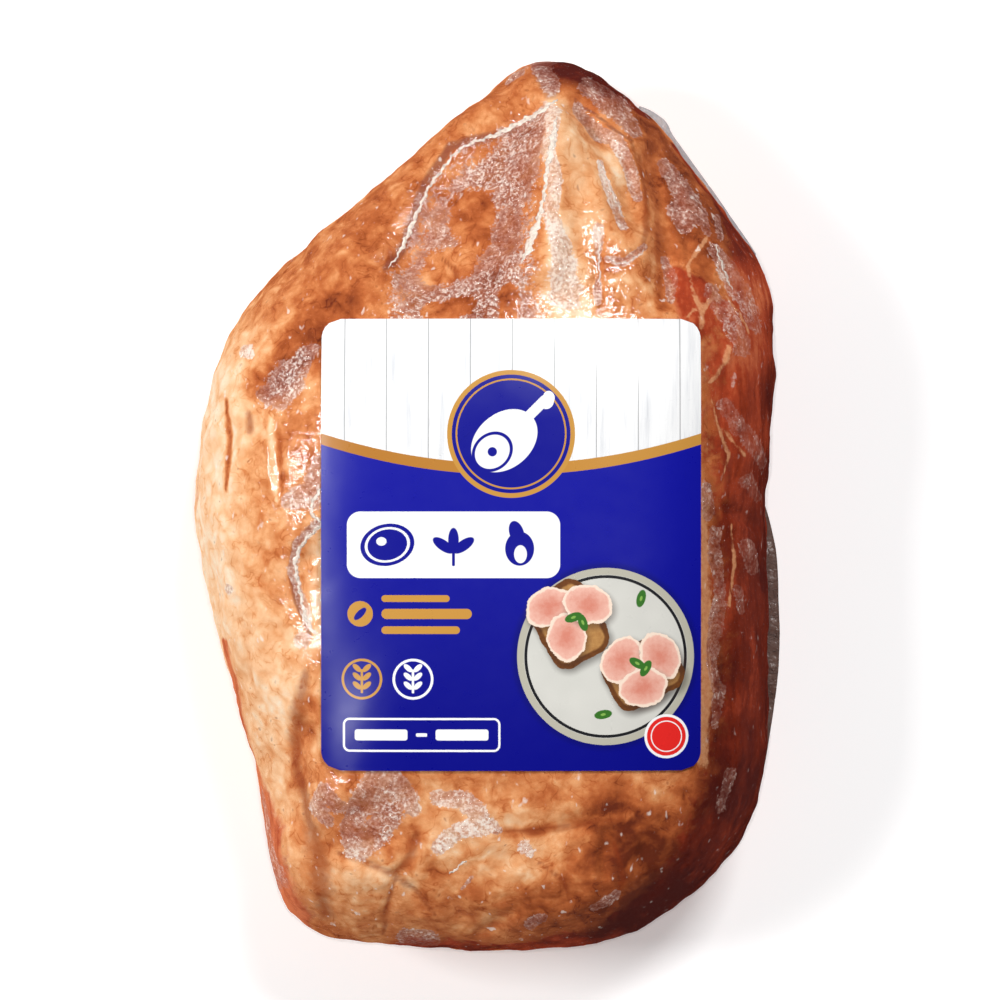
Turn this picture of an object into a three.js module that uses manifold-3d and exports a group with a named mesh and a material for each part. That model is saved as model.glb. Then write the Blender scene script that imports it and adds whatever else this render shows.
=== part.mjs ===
// A boneless smoked ham sealed in clear shrink film, with a printed label stuck on its front.
// The film lies tight on the meat, so film and meat are one solid. Its flattened edge seam stands
// out along the lean side as a thin skirt. The label is a separate piece.
//
// Millimetres. The ham lies on its back: +Z is the labelled front, +Y the narrow shank end and
// +X the lean side. The origin is under the middle of the pack, on the surface that it rests on.
import * as THREE from "three";
import { mergeVertices } from "three/addons/utils/BufferGeometryUtils.js";
import Module from "manifold-3d";

const { cos, sin, hypot, atan2, sqrt, PI } = Math;
const { clamp, lerp, smoothstep } = THREE.MathUtils;

// Driving dimensions
const FRONT_DEPTH = 43; // from the widest level up to the crown
const BACK_DEPTH = 36; // from the widest level down to the resting face
const SHOULDER = 4; // how square the front is towards its edge: 2 is round, more is squarer
const BACK_SHOULDER = 2.3; // the same for the back, between its edge and the resting face
const ROUNDNESS = 2.1; // the same for the sides, seen level
const CENTRE = new THREE.Vector2(2, -6);
const SHANK_TAPER = { from: 20, to: 108, left: 0.7 }; // share of the depth left at the shank tip
const BASE_SHARE = { foot: 0.56, shank: 0.3 }; // how far out the pressed flat resting face runs

const LABEL_WIDTH = 89;
const LABEL_HEIGHT = 106;
const LABEL_CORNER = 4.5;
const LABEL_THICKNESS = 0.5;
const LABEL_CENTRE = new THREE.Vector2(5.5, -9.2);
const CLEARANCE = 0.3; // between the film and the label

const SKIRT_THICKNESS = 1.2;
const SKIRT_LEVEL = 28; // height of the edge seam above the resting face
const SKIRT_ROOT = 9; // how far the skirt runs into the solid

// Mesh fineness
const AROUND = 128;
const FRONT_RINGS = 27;
const BACK_RINGS = 12;

// The ham's edge seen from the front, anticlockwise from the shank tip
const EDGE = [
  [19.4, 107.2], [9.4, 106.8], [-5.4, 95.4], [-28.4, 75], [-51, 57], [-59.2, 47.2],
  [-64.6, 37], [-69.8, 15], [-70.6, -4], [-64.6, -34.9], [-56.5, -63.8], [-52.6, -88], [-48.6, -98],
  [-40, -103.6], [-22, -106.3], [3, -107.8], [29, -105.2], [46, -96.6], [60.8, -81.2],
  [66.8, -64], [68.2, -30],
  [67.6, 1], [69.6, 36], [68.3, 51], [63.7, 62.4], [54.5, 75], [42.5, 90.4], [31.9, 100.6],
];

// Relief of the front. A groove or ridge follows a line: depth is positive into the meat.
const FRONT_LINES = [
  // crease on the inner side of the rolled fat edge
  { line: [[15, 97], [1, 87], [-9, 78], [-17, 64], [-23, 52]], width: 4.5, depth: 4 },
  // the rolled fat edge itself
  { line: [[6, 98], [-10, 85], [-27, 69], [-40, 53]], width: 10, depth: -3.4 },
  // ridge down from the shank tip
  { line: [[16, 97], [15.5, 80], [14.5, 62], [13.5, 50]], width: 6.5, depth: -3.2 },
  // seams between the muscles on the lean side
  { line: [[19, 99], [27, 88], [33, 76], [37, 63]], width: 3.6, depth: 2.4 },
  { line: [[39, 88], [42, 76], [43, 64], [42, 48]], width: 3.6, depth: 2.6 },
  { line: [[54, 2], [54, -15], [55.5, -42], [54, -64]], width: 4, depth: 1.8 },
  // fold across the fat above the left edge
  { line: [[-34, 48], [-44, 37], [-54, 25]], width: 6.5, depth: 2.4 },
  // hollow between the left edge and the foot
  { line: [[-43, -50], [-48, -60], [-47, -74], [-36, -90]], width: 5, depth: 2.4 },
  // seam across the foot
  { line: [[3, -76], [14, -77], [28, -74]], width: 3.6, depth: 1.8 },
];

const FRONT_DENTS = [
  // sunk face beside the crease, bridged by the film
  { at: [-3, 66], radii: [13, 25], turn: -27, depth: 3.6 },
  // pale dent at the label's left edge
  { at: [-38, -17], radii: [9, 14], turn: 0, depth: 2.6 },
  // dents with trapped jelly at the foot
  { at: [-25, -75], radii: [15, 10], turn: 15, depth: 2.2 },
  // swellings of the lean side and of the foot
  { at: [31, 68], radii: [9, 20], turn: 12, depth: -1.8 },
  { at: [58, 22], radii: [8, 26], turn: 0, depth: -1.4 },
  { at: [14, -92], radii: [24, 9], turn: 4, depth: -1.6 },
];

// The back is the same meat: three long seams between muscles
const BACK_LINES = [
  { line: [[-30, 62], [-36, 20], [-44, -30], [-36, -80]], width: 5, depth: 2.2 },
  { line: [[20, 88], [38, 50], [44, 0], [48, -50]], width: 5, depth: 2.4 },
  { line: [[-40, -66], [0, -86], [36, -78]], width: 5, depth: 2 },
];

const vector = ([x, y]) => new THREE.Vector3(x, y, 0);
const edgeCurve = new THREE.CatmullRomCurve3(EDGE.map(vector), true, "centripetal");

// Distance from the centre to the edge, for any direction
const REACH_STEPS = 1440;
const reachTable = edgeCurve
  .getSpacedPoints(REACH_STEPS)
  .slice(0, REACH_STEPS)
  .map((p) => [atan2(p.y - CENTRE.y, p.x - CENTRE.x), hypot(p.x - CENTRE.x, p.y - CENTRE.y)])
  .sort((a, b) => a[0] - b[0]);

function reach(angle) {
  let high = reachTable.findIndex((entry) => entry[0] >= angle);
  if (high < 0) high = 0;
  const after = reachTable[high];
  const before = reachTable.at(high - 1);
  const gap = (after[0] - before[0] + 2 * PI) % (2 * PI);
  const into = (angle - before[0] + 2 * PI) % (2 * PI);
  return lerp(before[1], after[1], gap > 0 ? into / gap : 0);
}

// The ham grows shallower towards the shank: 0 at the label, 1 at the shank tip
const shankward = (y) => smoothstep(y, SHANK_TAPER.from, SHANK_TAPER.to);
const taper = (y) => lerp(1, SHANK_TAPER.left, shankward(y));

// Height of the smooth front, with no relief, above the resting face
function crownHeight(x, y) {
  const away = hypot(x - CENTRE.x, y - CENTRE.y);
  const share = clamp(away / reach(atan2(y - CENTRE.y, x - CENTRE.x)), 0, 1);
  return BACK_DEPTH + FRONT_DEPTH * taper(y) * (1 - share ** SHOULDER) ** (1 / ROUNDNESS);
}

// How far a point is from a line of short straight stretches, as shares of its width and length
function besideLine({ line, width }, x, y) {
  let nearest = Infinity;
  let along = 0;
  for (let i = 0; i + 1 < line.length; i++) {
    const [ax, ay] = line[i];
    const [dx, dy] = [line[i + 1][0] - ax, line[i + 1][1] - ay];
    const t = clamp(((x - ax) * dx + (y - ay) * dy) / (dx * dx + dy * dy), 0, 1);
    const gap = hypot(x - ax - t * dx, y - ay - t * dy);
    if (gap < nearest) {
      nearest = gap;
      along = (i + t) / (line.length - 1);
    }
  }
  return { aside: nearest / width, along };
}

// A line's relief is bell-shaped across it and dies away at its ends
const LINE_FADE = 0.2; // share of the length over which an end fades
const LINE_OVERRUN = 0.05; // share of the length that is left over at the very end
function lineRelief(feature, x, y) {
  const { aside, along } = besideLine(feature, x, y);
  const nearestEnd = Math.min(along, 1 - along);
  const ends = smoothstep(nearestEnd, -LINE_OVERRUN, LINE_FADE - LINE_OVERRUN);
  return -feature.depth * Math.exp(-aside * aside) * ends;
}

// A dent is flat in its middle and eases out a little past its radii
const DENT_FLAT = 0.35;
const DENT_EASE = 1.25;
function dentRelief({ at, radii, turn, depth }, x, y) {
  const angle = THREE.MathUtils.degToRad(turn);
  const [dx, dy] = [x - at[0], y - at[1]];
  const u = (dx * cos(angle) + dy * sin(angle)) / radii[0];
  const v = (dy * cos(angle) - dx * sin(angle)) / radii[1];
  return -depth * (1 - smoothstep(hypot(u, v), DENT_FLAT, DENT_EASE));
}

// How much of an outward swelling is left: none under the label or close beside it
const SWELL_GAP = 4;
const SWELL_FADE = 12;
function besideLabel(x, y) {
  const outX = Math.abs(x - LABEL_CENTRE.x) - LABEL_WIDTH / 2;
  const outY = Math.abs(y - LABEL_CENTRE.y) - LABEL_HEIGHT / 2;
  const away = hypot(Math.max(outX, 0), Math.max(outY, 0));
  return smoothstep(away, SWELL_GAP, SWELL_FADE);
}

const add = (sum, value) => sum + value;

function frontRelief(x, y) {
  const raised =
    FRONT_LINES.map((feature) => lineRelief(feature, x, y)).reduce(add) +
    FRONT_DENTS.map((feature) => dentRelief(feature, x, y)).reduce(add);
  return raised > 0 ? raised * besideLabel(x, y) : raised;
}

const backRelief = (x, y) =>
  BACK_LINES.map((feature) => lineRelief(feature, x, y)).reduce(add);

// A quarter of a section, from the edge (turn 0) to the middle (turn PI / 2): how far out it
// is and how far from the widest level, both as shares
function quarter(shoulder, turn) {
  return { out: cos(turn) ** (2 / shoulder), away: sin(turn) ** (2 / ROUNDNESS) };
}

// Turns that space the rings evenly along a quarter of the given reach and depth
const FINE_STEPS = 2000;
function evenTurns(shoulder, width, depth, count) {
  const lengths = [0];
  let before = quarter(shoulder, 0);
  for (let i = 1; i <= FINE_STEPS; i++) {
    const here = quarter(shoulder, ((PI / 2) * i) / FINE_STEPS);
    const step = hypot((here.out - before.out) * width, (here.away - before.away) * depth);
    lengths.push(lengths[i - 1] + step);
    before = here;
  }
  return Array.from({ length: count }, (_, ring) => {
    const wanted = (lengths[FINE_STEPS] * (ring + 1)) / count;
    const nearest = lengths.findIndex((length) => length >= wanted - 1e-9);
    return ((PI / 2) * nearest) / FINE_STEPS;
  });
}

// Rings of points, each a closed row of AROUND points, from near the middle of the front to
// the edge of the resting face
const TYPICAL_REACH = 80;
function smoothRings() {
  const edge = edgeCurve.getSpacedPoints(AROUND).slice(0, AROUND);
  const point = (p, share, height) => {
    const y = lerp(CENTRE.y, p.y, share);
    return new THREE.Vector3(lerp(CENTRE.x, p.x, share), y, BACK_DEPTH + height * taper(y));
  };
  const frontRing = (turn) => {
    const { out, away } = quarter(SHOULDER, turn);
    return edge.map((p) => point(p, out, FRONT_DEPTH * away));
  };
  const backRing = (turn) => {
    const { out, away } = quarter(BACK_SHOULDER, turn);
    return edge.map((p) => {
      const base = lerp(BASE_SHARE.foot, BASE_SHARE.shank, shankward(p.y));
      const share = lerp(base, 1, out);
      return new THREE.Vector3(
        lerp(CENTRE.x, p.x, share),
        lerp(CENTRE.y, p.y, share),
        BACK_DEPTH * (1 - away),
      );
    });
  };
  const front = evenTurns(SHOULDER, TYPICAL_REACH, FRONT_DEPTH, FRONT_RINGS).slice(0, -1);
  const backWidth = TYPICAL_REACH * (1 - BASE_SHARE.foot);
  const back = evenTurns(BACK_SHOULDER, backWidth, BACK_DEPTH, BACK_RINGS);
  return [...front.reverse().map(frontRing), frontRing(0), ...back.map(backRing)];
}

// Moves each point along the outward normal of its ring grid by the relief of its side
const EDGE_FADE = 14; // the relief grows from nothing over this height from the widest level
function withRelief(rings) {
  const last = rings.length - 1;
  return rings.map((ring, i) =>
    ring.map((point, j) => {
      const inner = rings[Math.max(i - 1, 0)][j];
      const outer = rings[Math.min(i + 1, last)][j];
      const before = ring[(j + AROUND - 1) % AROUND];
      const after = ring[(j + 1) % AROUND];
      const normal = new THREE.Vector3()
        .crossVectors(outer.clone().sub(inner), after.clone().sub(before))
        .normalize();
      const rise = point.z - BACK_DEPTH;
      const relief =
        rise > 0
          ? frontRelief(point.x, point.y) * smoothstep(rise, 0, EDGE_FADE)
          : backRelief(point.x, point.y) *
            smoothstep(-rise, 0, EDGE_FADE) *
            smoothstep(point.z, 0, EDGE_FADE);
      return point.clone().addScaledVector(normal, relief);
    }),
  );
}

function geometryOf(points, triangles) {
  return new THREE.BufferGeometry().setFromPoints(points).setIndex(triangles);
}

// The resting face: an octagon in the middle of the last ring, and the band around it
const BASE_CORNERS = 8;
const BASE_INSET = 0.55;
function flatBase(ring, firstIndex, points) {
  const triangles = [];
  const octagonIndex = points.length;
  for (let i = 0; i < BASE_CORNERS; i++) {
    const p = ring[(i * AROUND) / BASE_CORNERS];
    const x = lerp(CENTRE.x, p.x, BASE_INSET);
    points.push(new THREE.Vector3(x, lerp(CENTRE.y, p.y, BASE_INSET), 0));
  }
  for (let i = 1; i + 1 < BASE_CORNERS; i++)
    triangles.push(octagonIndex, octagonIndex + i + 1, octagonIndex + i);
  const corner = (j) => octagonIndex + (Math.round((j * BASE_CORNERS) / AROUND) % BASE_CORNERS);
  for (let j = 0; j < AROUND; j++) {
    const here = firstIndex + j;
    const after = firstIndex + ((j + 1) % AROUND);
    triangles.push(here, corner(j), after);
    if (corner(j + 1) !== corner(j)) triangles.push(after, corner(j), corner(j + 1));
  }
  return triangles;
}

function hamGeometry() {
  const rings = withRelief(smoothRings());
  const lastRing = rings.length - 1;
  rings[lastRing].forEach((point) => (point.z = 0));
  const middle = new THREE.Vector3(
    CENTRE.x,
    CENTRE.y,
    BACK_DEPTH + FRONT_DEPTH + frontRelief(CENTRE.x, CENTRE.y),
  );
  const points = [middle, ...rings.flat()];
  const triangles = [];
  const at = (i, j) => 1 + i * AROUND + (j % AROUND);
  for (let j = 0; j < AROUND; j++) {
    triangles.push(0, at(0, j), at(0, j + 1));
    for (let i = 0; i < lastRing; i++) {
      triangles.push(at(i, j), at(i + 1, j), at(i + 1, j + 1));
      triangles.push(at(i, j), at(i + 1, j + 1), at(i, j + 1));
    }
  }
  triangles.push(...flatBase(rings[lastRing], at(lastRing, 0), points));
  return geometryOf(points, triangles);
}

// The outer edge of each stretch of the film's edge seam, from top to bottom. Its inner edge
// lies inside the ham.
const SKIRTS = [
  [[36.7, 96.6], [42.5, 93.7], [45.1, 89.4], [54.1, 76.9], [59.8, 68.7], [65, 60.9]],
  [[66, 2], [69.6, -9.5], [70.5, -24], [70.7, -33], [70.2, -42], [68.4, -55], [65.6, -69]],
];

const SKIRT_STEPS = 24;
function skirtGeometry(outer) {
  const edge = new THREE.SplineCurve(outer.map(([x, y]) => new THREE.Vector2(x, y)));
  const outerPoints = edge.getPoints(SKIRT_STEPS);
  const innerPoints = outerPoints
    .map((p) => {
      const inward = CENTRE.clone().sub(p).setLength(SKIRT_ROOT);
      return p.clone().add(inward);
    })
    .reverse();
  const shape = new THREE.Shape([...outerPoints, ...innerPoints]);
  return new THREE.ExtrudeGeometry(shape, {
    depth: SKIRT_THICKNESS,
    bevelEnabled: false,
  }).translate(0, 0, SKIRT_LEVEL);
}

const wasm = await Module();
wasm.setup();

function solidOf(geometry) {
  const bare = geometry.clone();
  bare.deleteAttribute("normal");
  bare.deleteAttribute("uv");
  const merged = mergeVertices(bare, 1e-4);
  return new wasm.Manifold(
    new wasm.Mesh({
      numProp: 3,
      vertProperties: merged.attributes.position.array,
      triVerts: new Uint32Array(merged.index.array),
    }),
  );
}

function geometryFrom(solid) {
  const mesh = solid.getMesh();
  return new THREE.BufferGeometry()
    .setAttribute("position", new THREE.BufferAttribute(mesh.vertProperties, 3))
    .setIndex(new THREE.BufferAttribute(mesh.triVerts, 1));
}

function sealedHamGeometry() {
  const ham = solidOf(hamGeometry());
  return geometryFrom(SKIRTS.reduce((whole, edge) => whole.add(solidOf(skirtGeometry(edge))), ham));
}

// Rows of the label run across it. Rows near its ends are shorter, which rounds its corners.
const LABEL_COLUMNS = 18;
const LABEL_ROWS = 20;
const CORNER_STEPS = 4;
function labelRows() {
  const straight = LABEL_HEIGHT / 2 - LABEL_CORNER;
  const rows = [];
  for (let i = 0; i <= CORNER_STEPS; i++) {
    const angle = ((PI / 2) * i) / CORNER_STEPS;
    rows.push({
      y: straight + LABEL_CORNER * cos(angle),
      halfWidth: LABEL_WIDTH / 2 - LABEL_CORNER * (1 - sin(angle)),
    });
  }
  for (let i = 1; i < LABEL_ROWS; i++)
    rows.push({ y: lerp(straight, -straight, i / LABEL_ROWS), halfWidth: LABEL_WIDTH / 2 });
  const lowerCorners = rows.slice(0, CORNER_STEPS + 1).reverse();
  return [...rows, ...lowerCorners.map(({ y, halfWidth }) => ({ y: -y, halfWidth }))];
}

function labelGeometry() {
  const rows = labelRows();
  const layer = (lift) =>
    rows.flatMap(({ y, halfWidth }) =>
      Array.from({ length: LABEL_COLUMNS + 1 }, (_, i) => {
        const px = LABEL_CENTRE.x + lerp(-halfWidth, halfWidth, i / LABEL_COLUMNS);
        const py = LABEL_CENTRE.y + y;
        return new THREE.Vector3(px, py, crownHeight(px, py) + lift);
      }),
    );
  const lower = layer(CLEARANCE);
  const upper = layer(CLEARANCE + LABEL_THICKNESS);
  const across = LABEL_COLUMNS + 1;
  const triangles = [];
  const quad = (a, b, c, d) => triangles.push(a, b, c, a, c, d);
  for (let r = 0; r + 1 < rows.length; r++)
    for (let i = 0; i < LABEL_COLUMNS; i++) {
      const low = r * across + i;
      const top = low + lower.length;
      quad(low, low + 1, low + across + 1, low + across);
      quad(top, top + across, top + across + 1, top + 1);
    }
  const rim = [];
  for (let i = 0; i < LABEL_COLUMNS; i++) rim.push(i);
  for (let r = 0; r + 1 < rows.length; r++) rim.push(r * across + LABEL_COLUMNS);
  for (let i = LABEL_COLUMNS; i > 0; i--) rim.push((rows.length - 1) * across + i);
  for (let r = rows.length - 1; r > 0; r--) rim.push(r * across);
  rim.forEach((here, i) => {
    const next = rim[(i + 1) % rim.length];
    quad(here, here + lower.length, next + lower.length, next);
  });
  return geometryOf([...lower, ...upper], triangles);
}

function piece(name, geometry, colour, roughness) {
  const material = new THREE.MeshStandardMaterial({ color: colour, roughness, metalness: 0 });
  const mesh = new THREE.Mesh(geometry, material);
  mesh.name = name;
  return mesh;
}

const pack = new THREE.Group();
pack.add(piece("sealed_ham", sealedHamGeometry(), 0xc77b4b, 0.25));
pack.add(piece("label", labelGeometry(), 0x1a20a8, 0.35));

export default pack;
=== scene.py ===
import math

import bpy
import numpy as np
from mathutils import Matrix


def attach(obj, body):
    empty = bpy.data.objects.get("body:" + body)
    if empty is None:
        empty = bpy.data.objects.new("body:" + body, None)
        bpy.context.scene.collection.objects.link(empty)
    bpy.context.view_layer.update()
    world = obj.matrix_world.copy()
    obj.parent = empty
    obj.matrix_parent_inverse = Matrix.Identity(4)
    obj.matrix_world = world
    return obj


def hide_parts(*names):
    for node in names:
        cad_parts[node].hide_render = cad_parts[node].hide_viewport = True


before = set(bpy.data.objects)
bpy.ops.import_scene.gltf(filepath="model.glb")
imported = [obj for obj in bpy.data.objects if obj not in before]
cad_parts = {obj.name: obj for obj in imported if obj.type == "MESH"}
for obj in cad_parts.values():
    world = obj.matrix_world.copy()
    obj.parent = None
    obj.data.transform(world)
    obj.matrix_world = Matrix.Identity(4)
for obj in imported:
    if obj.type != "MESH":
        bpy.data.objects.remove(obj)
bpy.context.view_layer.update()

# Floor, camera and lamps
# The pack lies on its back on a pale studio table. The camera hangs over it and looks straight
# down on the labelled front. One soft lamp stands at the left and one past the narrow end.
MM = 0.001
TABLE_SIZE, TABLE_LEVEL = 6.0, -0.3 * MM
TABLE_GLOW, SEEN_GLOW = 0.3, 0.07  # what lights the pack, and what the camera sees on top of it
SKY_LIGHT, LESS_IN_GLOSS = 0.15, -0.12
WIDEST_LEVEL = 36 * MM  # height of the ham's widest line above the table
CAMERA_HEIGHT = 1.5  # above that line
CAMERA_PLACE = (2.9 * MM, 1.3 * MM)
SENSOR = 36.0
VIEW_WIDTH = 241.3 * MM  # what the camera takes in at the widest line


def add(tree, kind, inputs=None, **settings):
    """A shader node with its settings and inputs. A socket given as an input is linked."""
    made = tree.nodes.new(kind)
    for name, value in settings.items():
        setattr(made, name, value)
    for name, value in (inputs or {}).items():
        if isinstance(value, bpy.types.NodeSocket):
            tree.links.new(value, made.inputs[name])
        else:
            made.inputs[name].default_value = value
    return made


def paint(red, green, blue):
    """A colour as the eye reads it, 0 to 255, turned into the linear light that a shader takes."""
    def linear(part):
        part /= 255
        return part / 12.92 if part <= 0.04045 else ((part + 0.055) / 1.055) ** 2.4
    return (linear(red), linear(green), linear(blue), 1.0)


def millimetres(tree, stretch=(1, 1, 1)):
    """The place on the piece in millimetres, for patterns that are sized in them."""
    place = add(tree, "ShaderNodeTexCoord").outputs["Object"]
    scale = tuple(1000 * s for s in stretch)
    return add(tree, "ShaderNodeMapping", {"Vector": place, "Scale": scale}).outputs["Vector"]


def noise(tree, place, size, detail=3.0, rough=0.55):
    """Soft cloudy noise from 0 to 1 with features of about size millimetres."""
    inputs = {"Vector": place, "Scale": 1 / size, "Detail": detail, "Roughness": rough}
    return add(tree, "ShaderNodeTexNoise", inputs).outputs["Fac"]


def calc(tree, operation, first, second=0.0, third=0.0, clamp=False):
    """One step of arithmetic on numbers or sockets."""
    made = add(tree, "ShaderNodeMath", operation=operation, use_clamp=clamp)
    for socket, value in zip(made.inputs, (first, second, third)):
        if isinstance(value, bpy.types.NodeSocket):
            tree.links.new(value, socket)
        else:
            socket.default_value = value
    return made.outputs["Value"]


def blend(tree, share, under, over):
    """Lays the colour over on the colour under."""
    made = add(tree, "ShaderNodeMix", {"Factor": share}, data_type="RGBA")
    for socket, value in ((made.inputs[6], under), (made.inputs[7], over)):
        if isinstance(value, bpy.types.NodeSocket):
            tree.links.new(value, socket)
        else:
            socket.default_value = value
    return made.outputs[2]


def new_material(name):
    """An empty material, its node tree and its output node."""
    material = bpy.data.materials.new(name)
    material.use_nodes = True
    material.node_tree.nodes.clear()
    output = add(material.node_tree, "ShaderNodeOutputMaterial")
    return material, material.node_tree, output


def table_material():
    """Pale acrylic that is lit a little from below, as a light table is, so shadows stay pale."""
    material, tree, output = new_material("table_top")
    place = millimetres(tree)
    tone = blend(tree, noise(tree, place, 160), paint(244, 244, 245), paint(250, 250, 250))
    rays = add(tree, "ShaderNodeLightPath").outputs
    glow = calc(tree, "MULTIPLY_ADD", rays["Is Camera Ray"], SEEN_GLOW, TABLE_GLOW)
    shader = add(tree, "ShaderNodeBsdfPrincipled", {
        "Base Color": tone, "Roughness": 0.75, "Emission Color": tone, "Emission Strength": glow
    })
    # Dark cards keep the pale table out of the film's gloss, as in a product studio
    card = add(tree, "ShaderNodeBsdfPrincipled", {
        "Base Color": blend(tree, noise(tree, place, 90), paint(60, 60, 62), paint(70, 70, 72)),
        "Roughness": 0.9,
    })
    whole = add(tree, "ShaderNodeMixShader", {
        0: rays["Is Glossy Ray"], 1: shader.outputs[0], 2: card.outputs[0]
    })
    tree.links.new(whole.outputs[0], output.inputs["Surface"])
    return material


bpy.ops.object.select_all(action="DESELECT")
bpy.ops.mesh.primitive_plane_add(size=TABLE_SIZE, location=(0, 0, TABLE_LEVEL))
table = bpy.context.active_object
table.name = "table_top"
table.data.materials.append(table_material())

camera_data = bpy.data.cameras.new("camera")
camera_data.sensor_width = SENSOR
camera_data.lens = SENSOR * CAMERA_HEIGHT / VIEW_WIDTH
camera = bpy.data.objects.new("camera", camera_data)
camera.location = (*CAMERA_PLACE, WIDEST_LEVEL + CAMERA_HEIGHT)
bpy.context.scene.collection.objects.link(camera)
bpy.context.scene.camera = camera


def lamp(name, place, aim, size, power):
    """A square soft box at place that shines at aim."""
    data = bpy.data.lights.new(name, "AREA")
    data.shape = "SQUARE"
    data.size = size
    data.energy = power
    made = bpy.data.objects.new(name, data)
    made.location = place
    away = [a - p for a, p in zip(aim, place)]
    turn = math.atan2(-away[0], away[1])
    tilt = math.atan2(math.hypot(away[0], away[1]), -away[2])
    made.rotation_euler = (tilt, 0, turn)
    made.visible_camera = False
    bpy.context.scene.collection.objects.link(made)


MIDDLE = (0, 0, 0.04)
lamp("key_lamp", (-0.85, 0.08, 1.1), MIDDLE, size=0.36, power=11.0)
lamp("top_lamp", (0.45, 0.95, 1.9), MIDDLE, size=0.5, power=26.0)
world = bpy.data.worlds.new("studio")
world.use_nodes = True
world.node_tree.nodes["Background"].inputs["Color"].default_value = (1, 1, 1, 1)
in_gloss = add(world.node_tree, "ShaderNodeLightPath").outputs["Is Glossy Ray"]
world.node_tree.links.new(
    calc(world.node_tree, "MULTIPLY_ADD", in_gloss, LESS_IN_GLOSS, SKY_LIGHT),
    world.node_tree.nodes["Background"].inputs["Strength"],
)
bpy.context.scene.world = world
bpy.context.scene.view_settings.view_transform = "Standard"

# Ham
# A boned pork leg, cured, smoked and pressed round by its film. Its rolled fat edge, the sunk
# face beside it and the seams between its muscles are its own flesh, drawn here as relief on
# one closed form, with the fat, lean and smoke marked on it as fields that its material reads.
FRONT_DEPTH = 43.0  # above its widest line; the lengths that follow are in millimetres
BACK_DEPTH = 36.0  # below that line
SHOULDER, BACK_SHOULDER = 4.0, 2.3  # how flat front and back are in their middle
ROUNDNESS = 2.1  # how full the edge is seen from the side, where 2 is round
CENTRE = np.array([2.0, -6.0])
TAPER_FROM, TAPER_TO, TAPER_LEFT = 20.0, 108.0, 0.7  # the front gets lower to the shank end
BASE_AT_FOOT, BASE_AT_SHANK = 0.56, 0.3  # the resting face, as shares of the ham's width

# Points of the outline seen from the front
EDGE = [
    (19.4, 107.2), (9.4, 106.8), (-5.4, 95.4), (-28.4, 75), (-51, 57), (-59.2, 47.2),
    (-64.6, 37), (-69.8, 15), (-70.6, -4), (-64.6, -34.9), (-56.5, -63.8), (-52.6, -88),
    (-48.6, -98), (-40, -103.6), (-22, -106.3), (3, -107.8), (29, -105.2), (46, -96.6),
    (60.8, -81.2), (66.8, -64), (68.2, -30), (67.6, 1), (69.6, 36), (68.3, 51), (63.7, 62.4),
    (54.5, 75), (42.5, 90.4), (31.9, 100.6),
]

LABEL_CENTRE = np.array([5.5, -9.2])
LABEL_SIZE = np.array([89.0, 106.0])

# Furrows and ridges: the points that they follow, half-width and depth into the meat
FURROWS = [
    ([(15, 97), (1, 87), (-9, 78), (-17, 64), (-23, 52)], 4.5, 4.0),
    ([(6, 98), (-10, 85), (-27, 69), (-40, 53)], 10, -3.4),
    ([(16, 97), (15.5, 80), (14.5, 62), (13.5, 50)], 6.5, -3.2),
    ([(19, 99), (27, 88), (33, 76), (37, 63)], 3.6, 2.4),
    ([(39, 88), (42, 76), (43, 64), (42, 48)], 3.6, 2.6),
    ([(54, 2), (54, -15), (55.5, -42), (54, -64)], 4, 1.8),
    ([(-34, 48), (-44, 37), (-54, 25)], 6.5, 2.4),
    ([(-43, -50), (-48, -60), (-47, -74), (-36, -90)], 5, 2.4),
    ([(3, -76), (14, -77), (28, -74)], 3.0, 0.9),
]
# Broad dents and swellings: middle, half-widths, turn in degrees and depth
DENTS = [
    ((-3, 66), (13, 25), -27, 3.6),
    ((-38, -17), (9, 14), 0, 2.6),
    ((-25, -75), (15, 10), 15, 2.2),
    ((31, 68), (9, 20), 12, -1.8),
    ((58, 22), (8, 26), 0, -1.4),
    ((14, -92), (24, 9), 4, -1.6),
]
BACK_FURROWS = [
    ([(-30, 62), (-36, 20), (-44, -30), (-36, -80)], 5, 2.2),
    ([(20, 88), (38, 50), (44, 0), (48, -50)], 5, 2.4),
    ([(-40, -66), (0, -86), (36, -78)], 5, 2),
]

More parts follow.
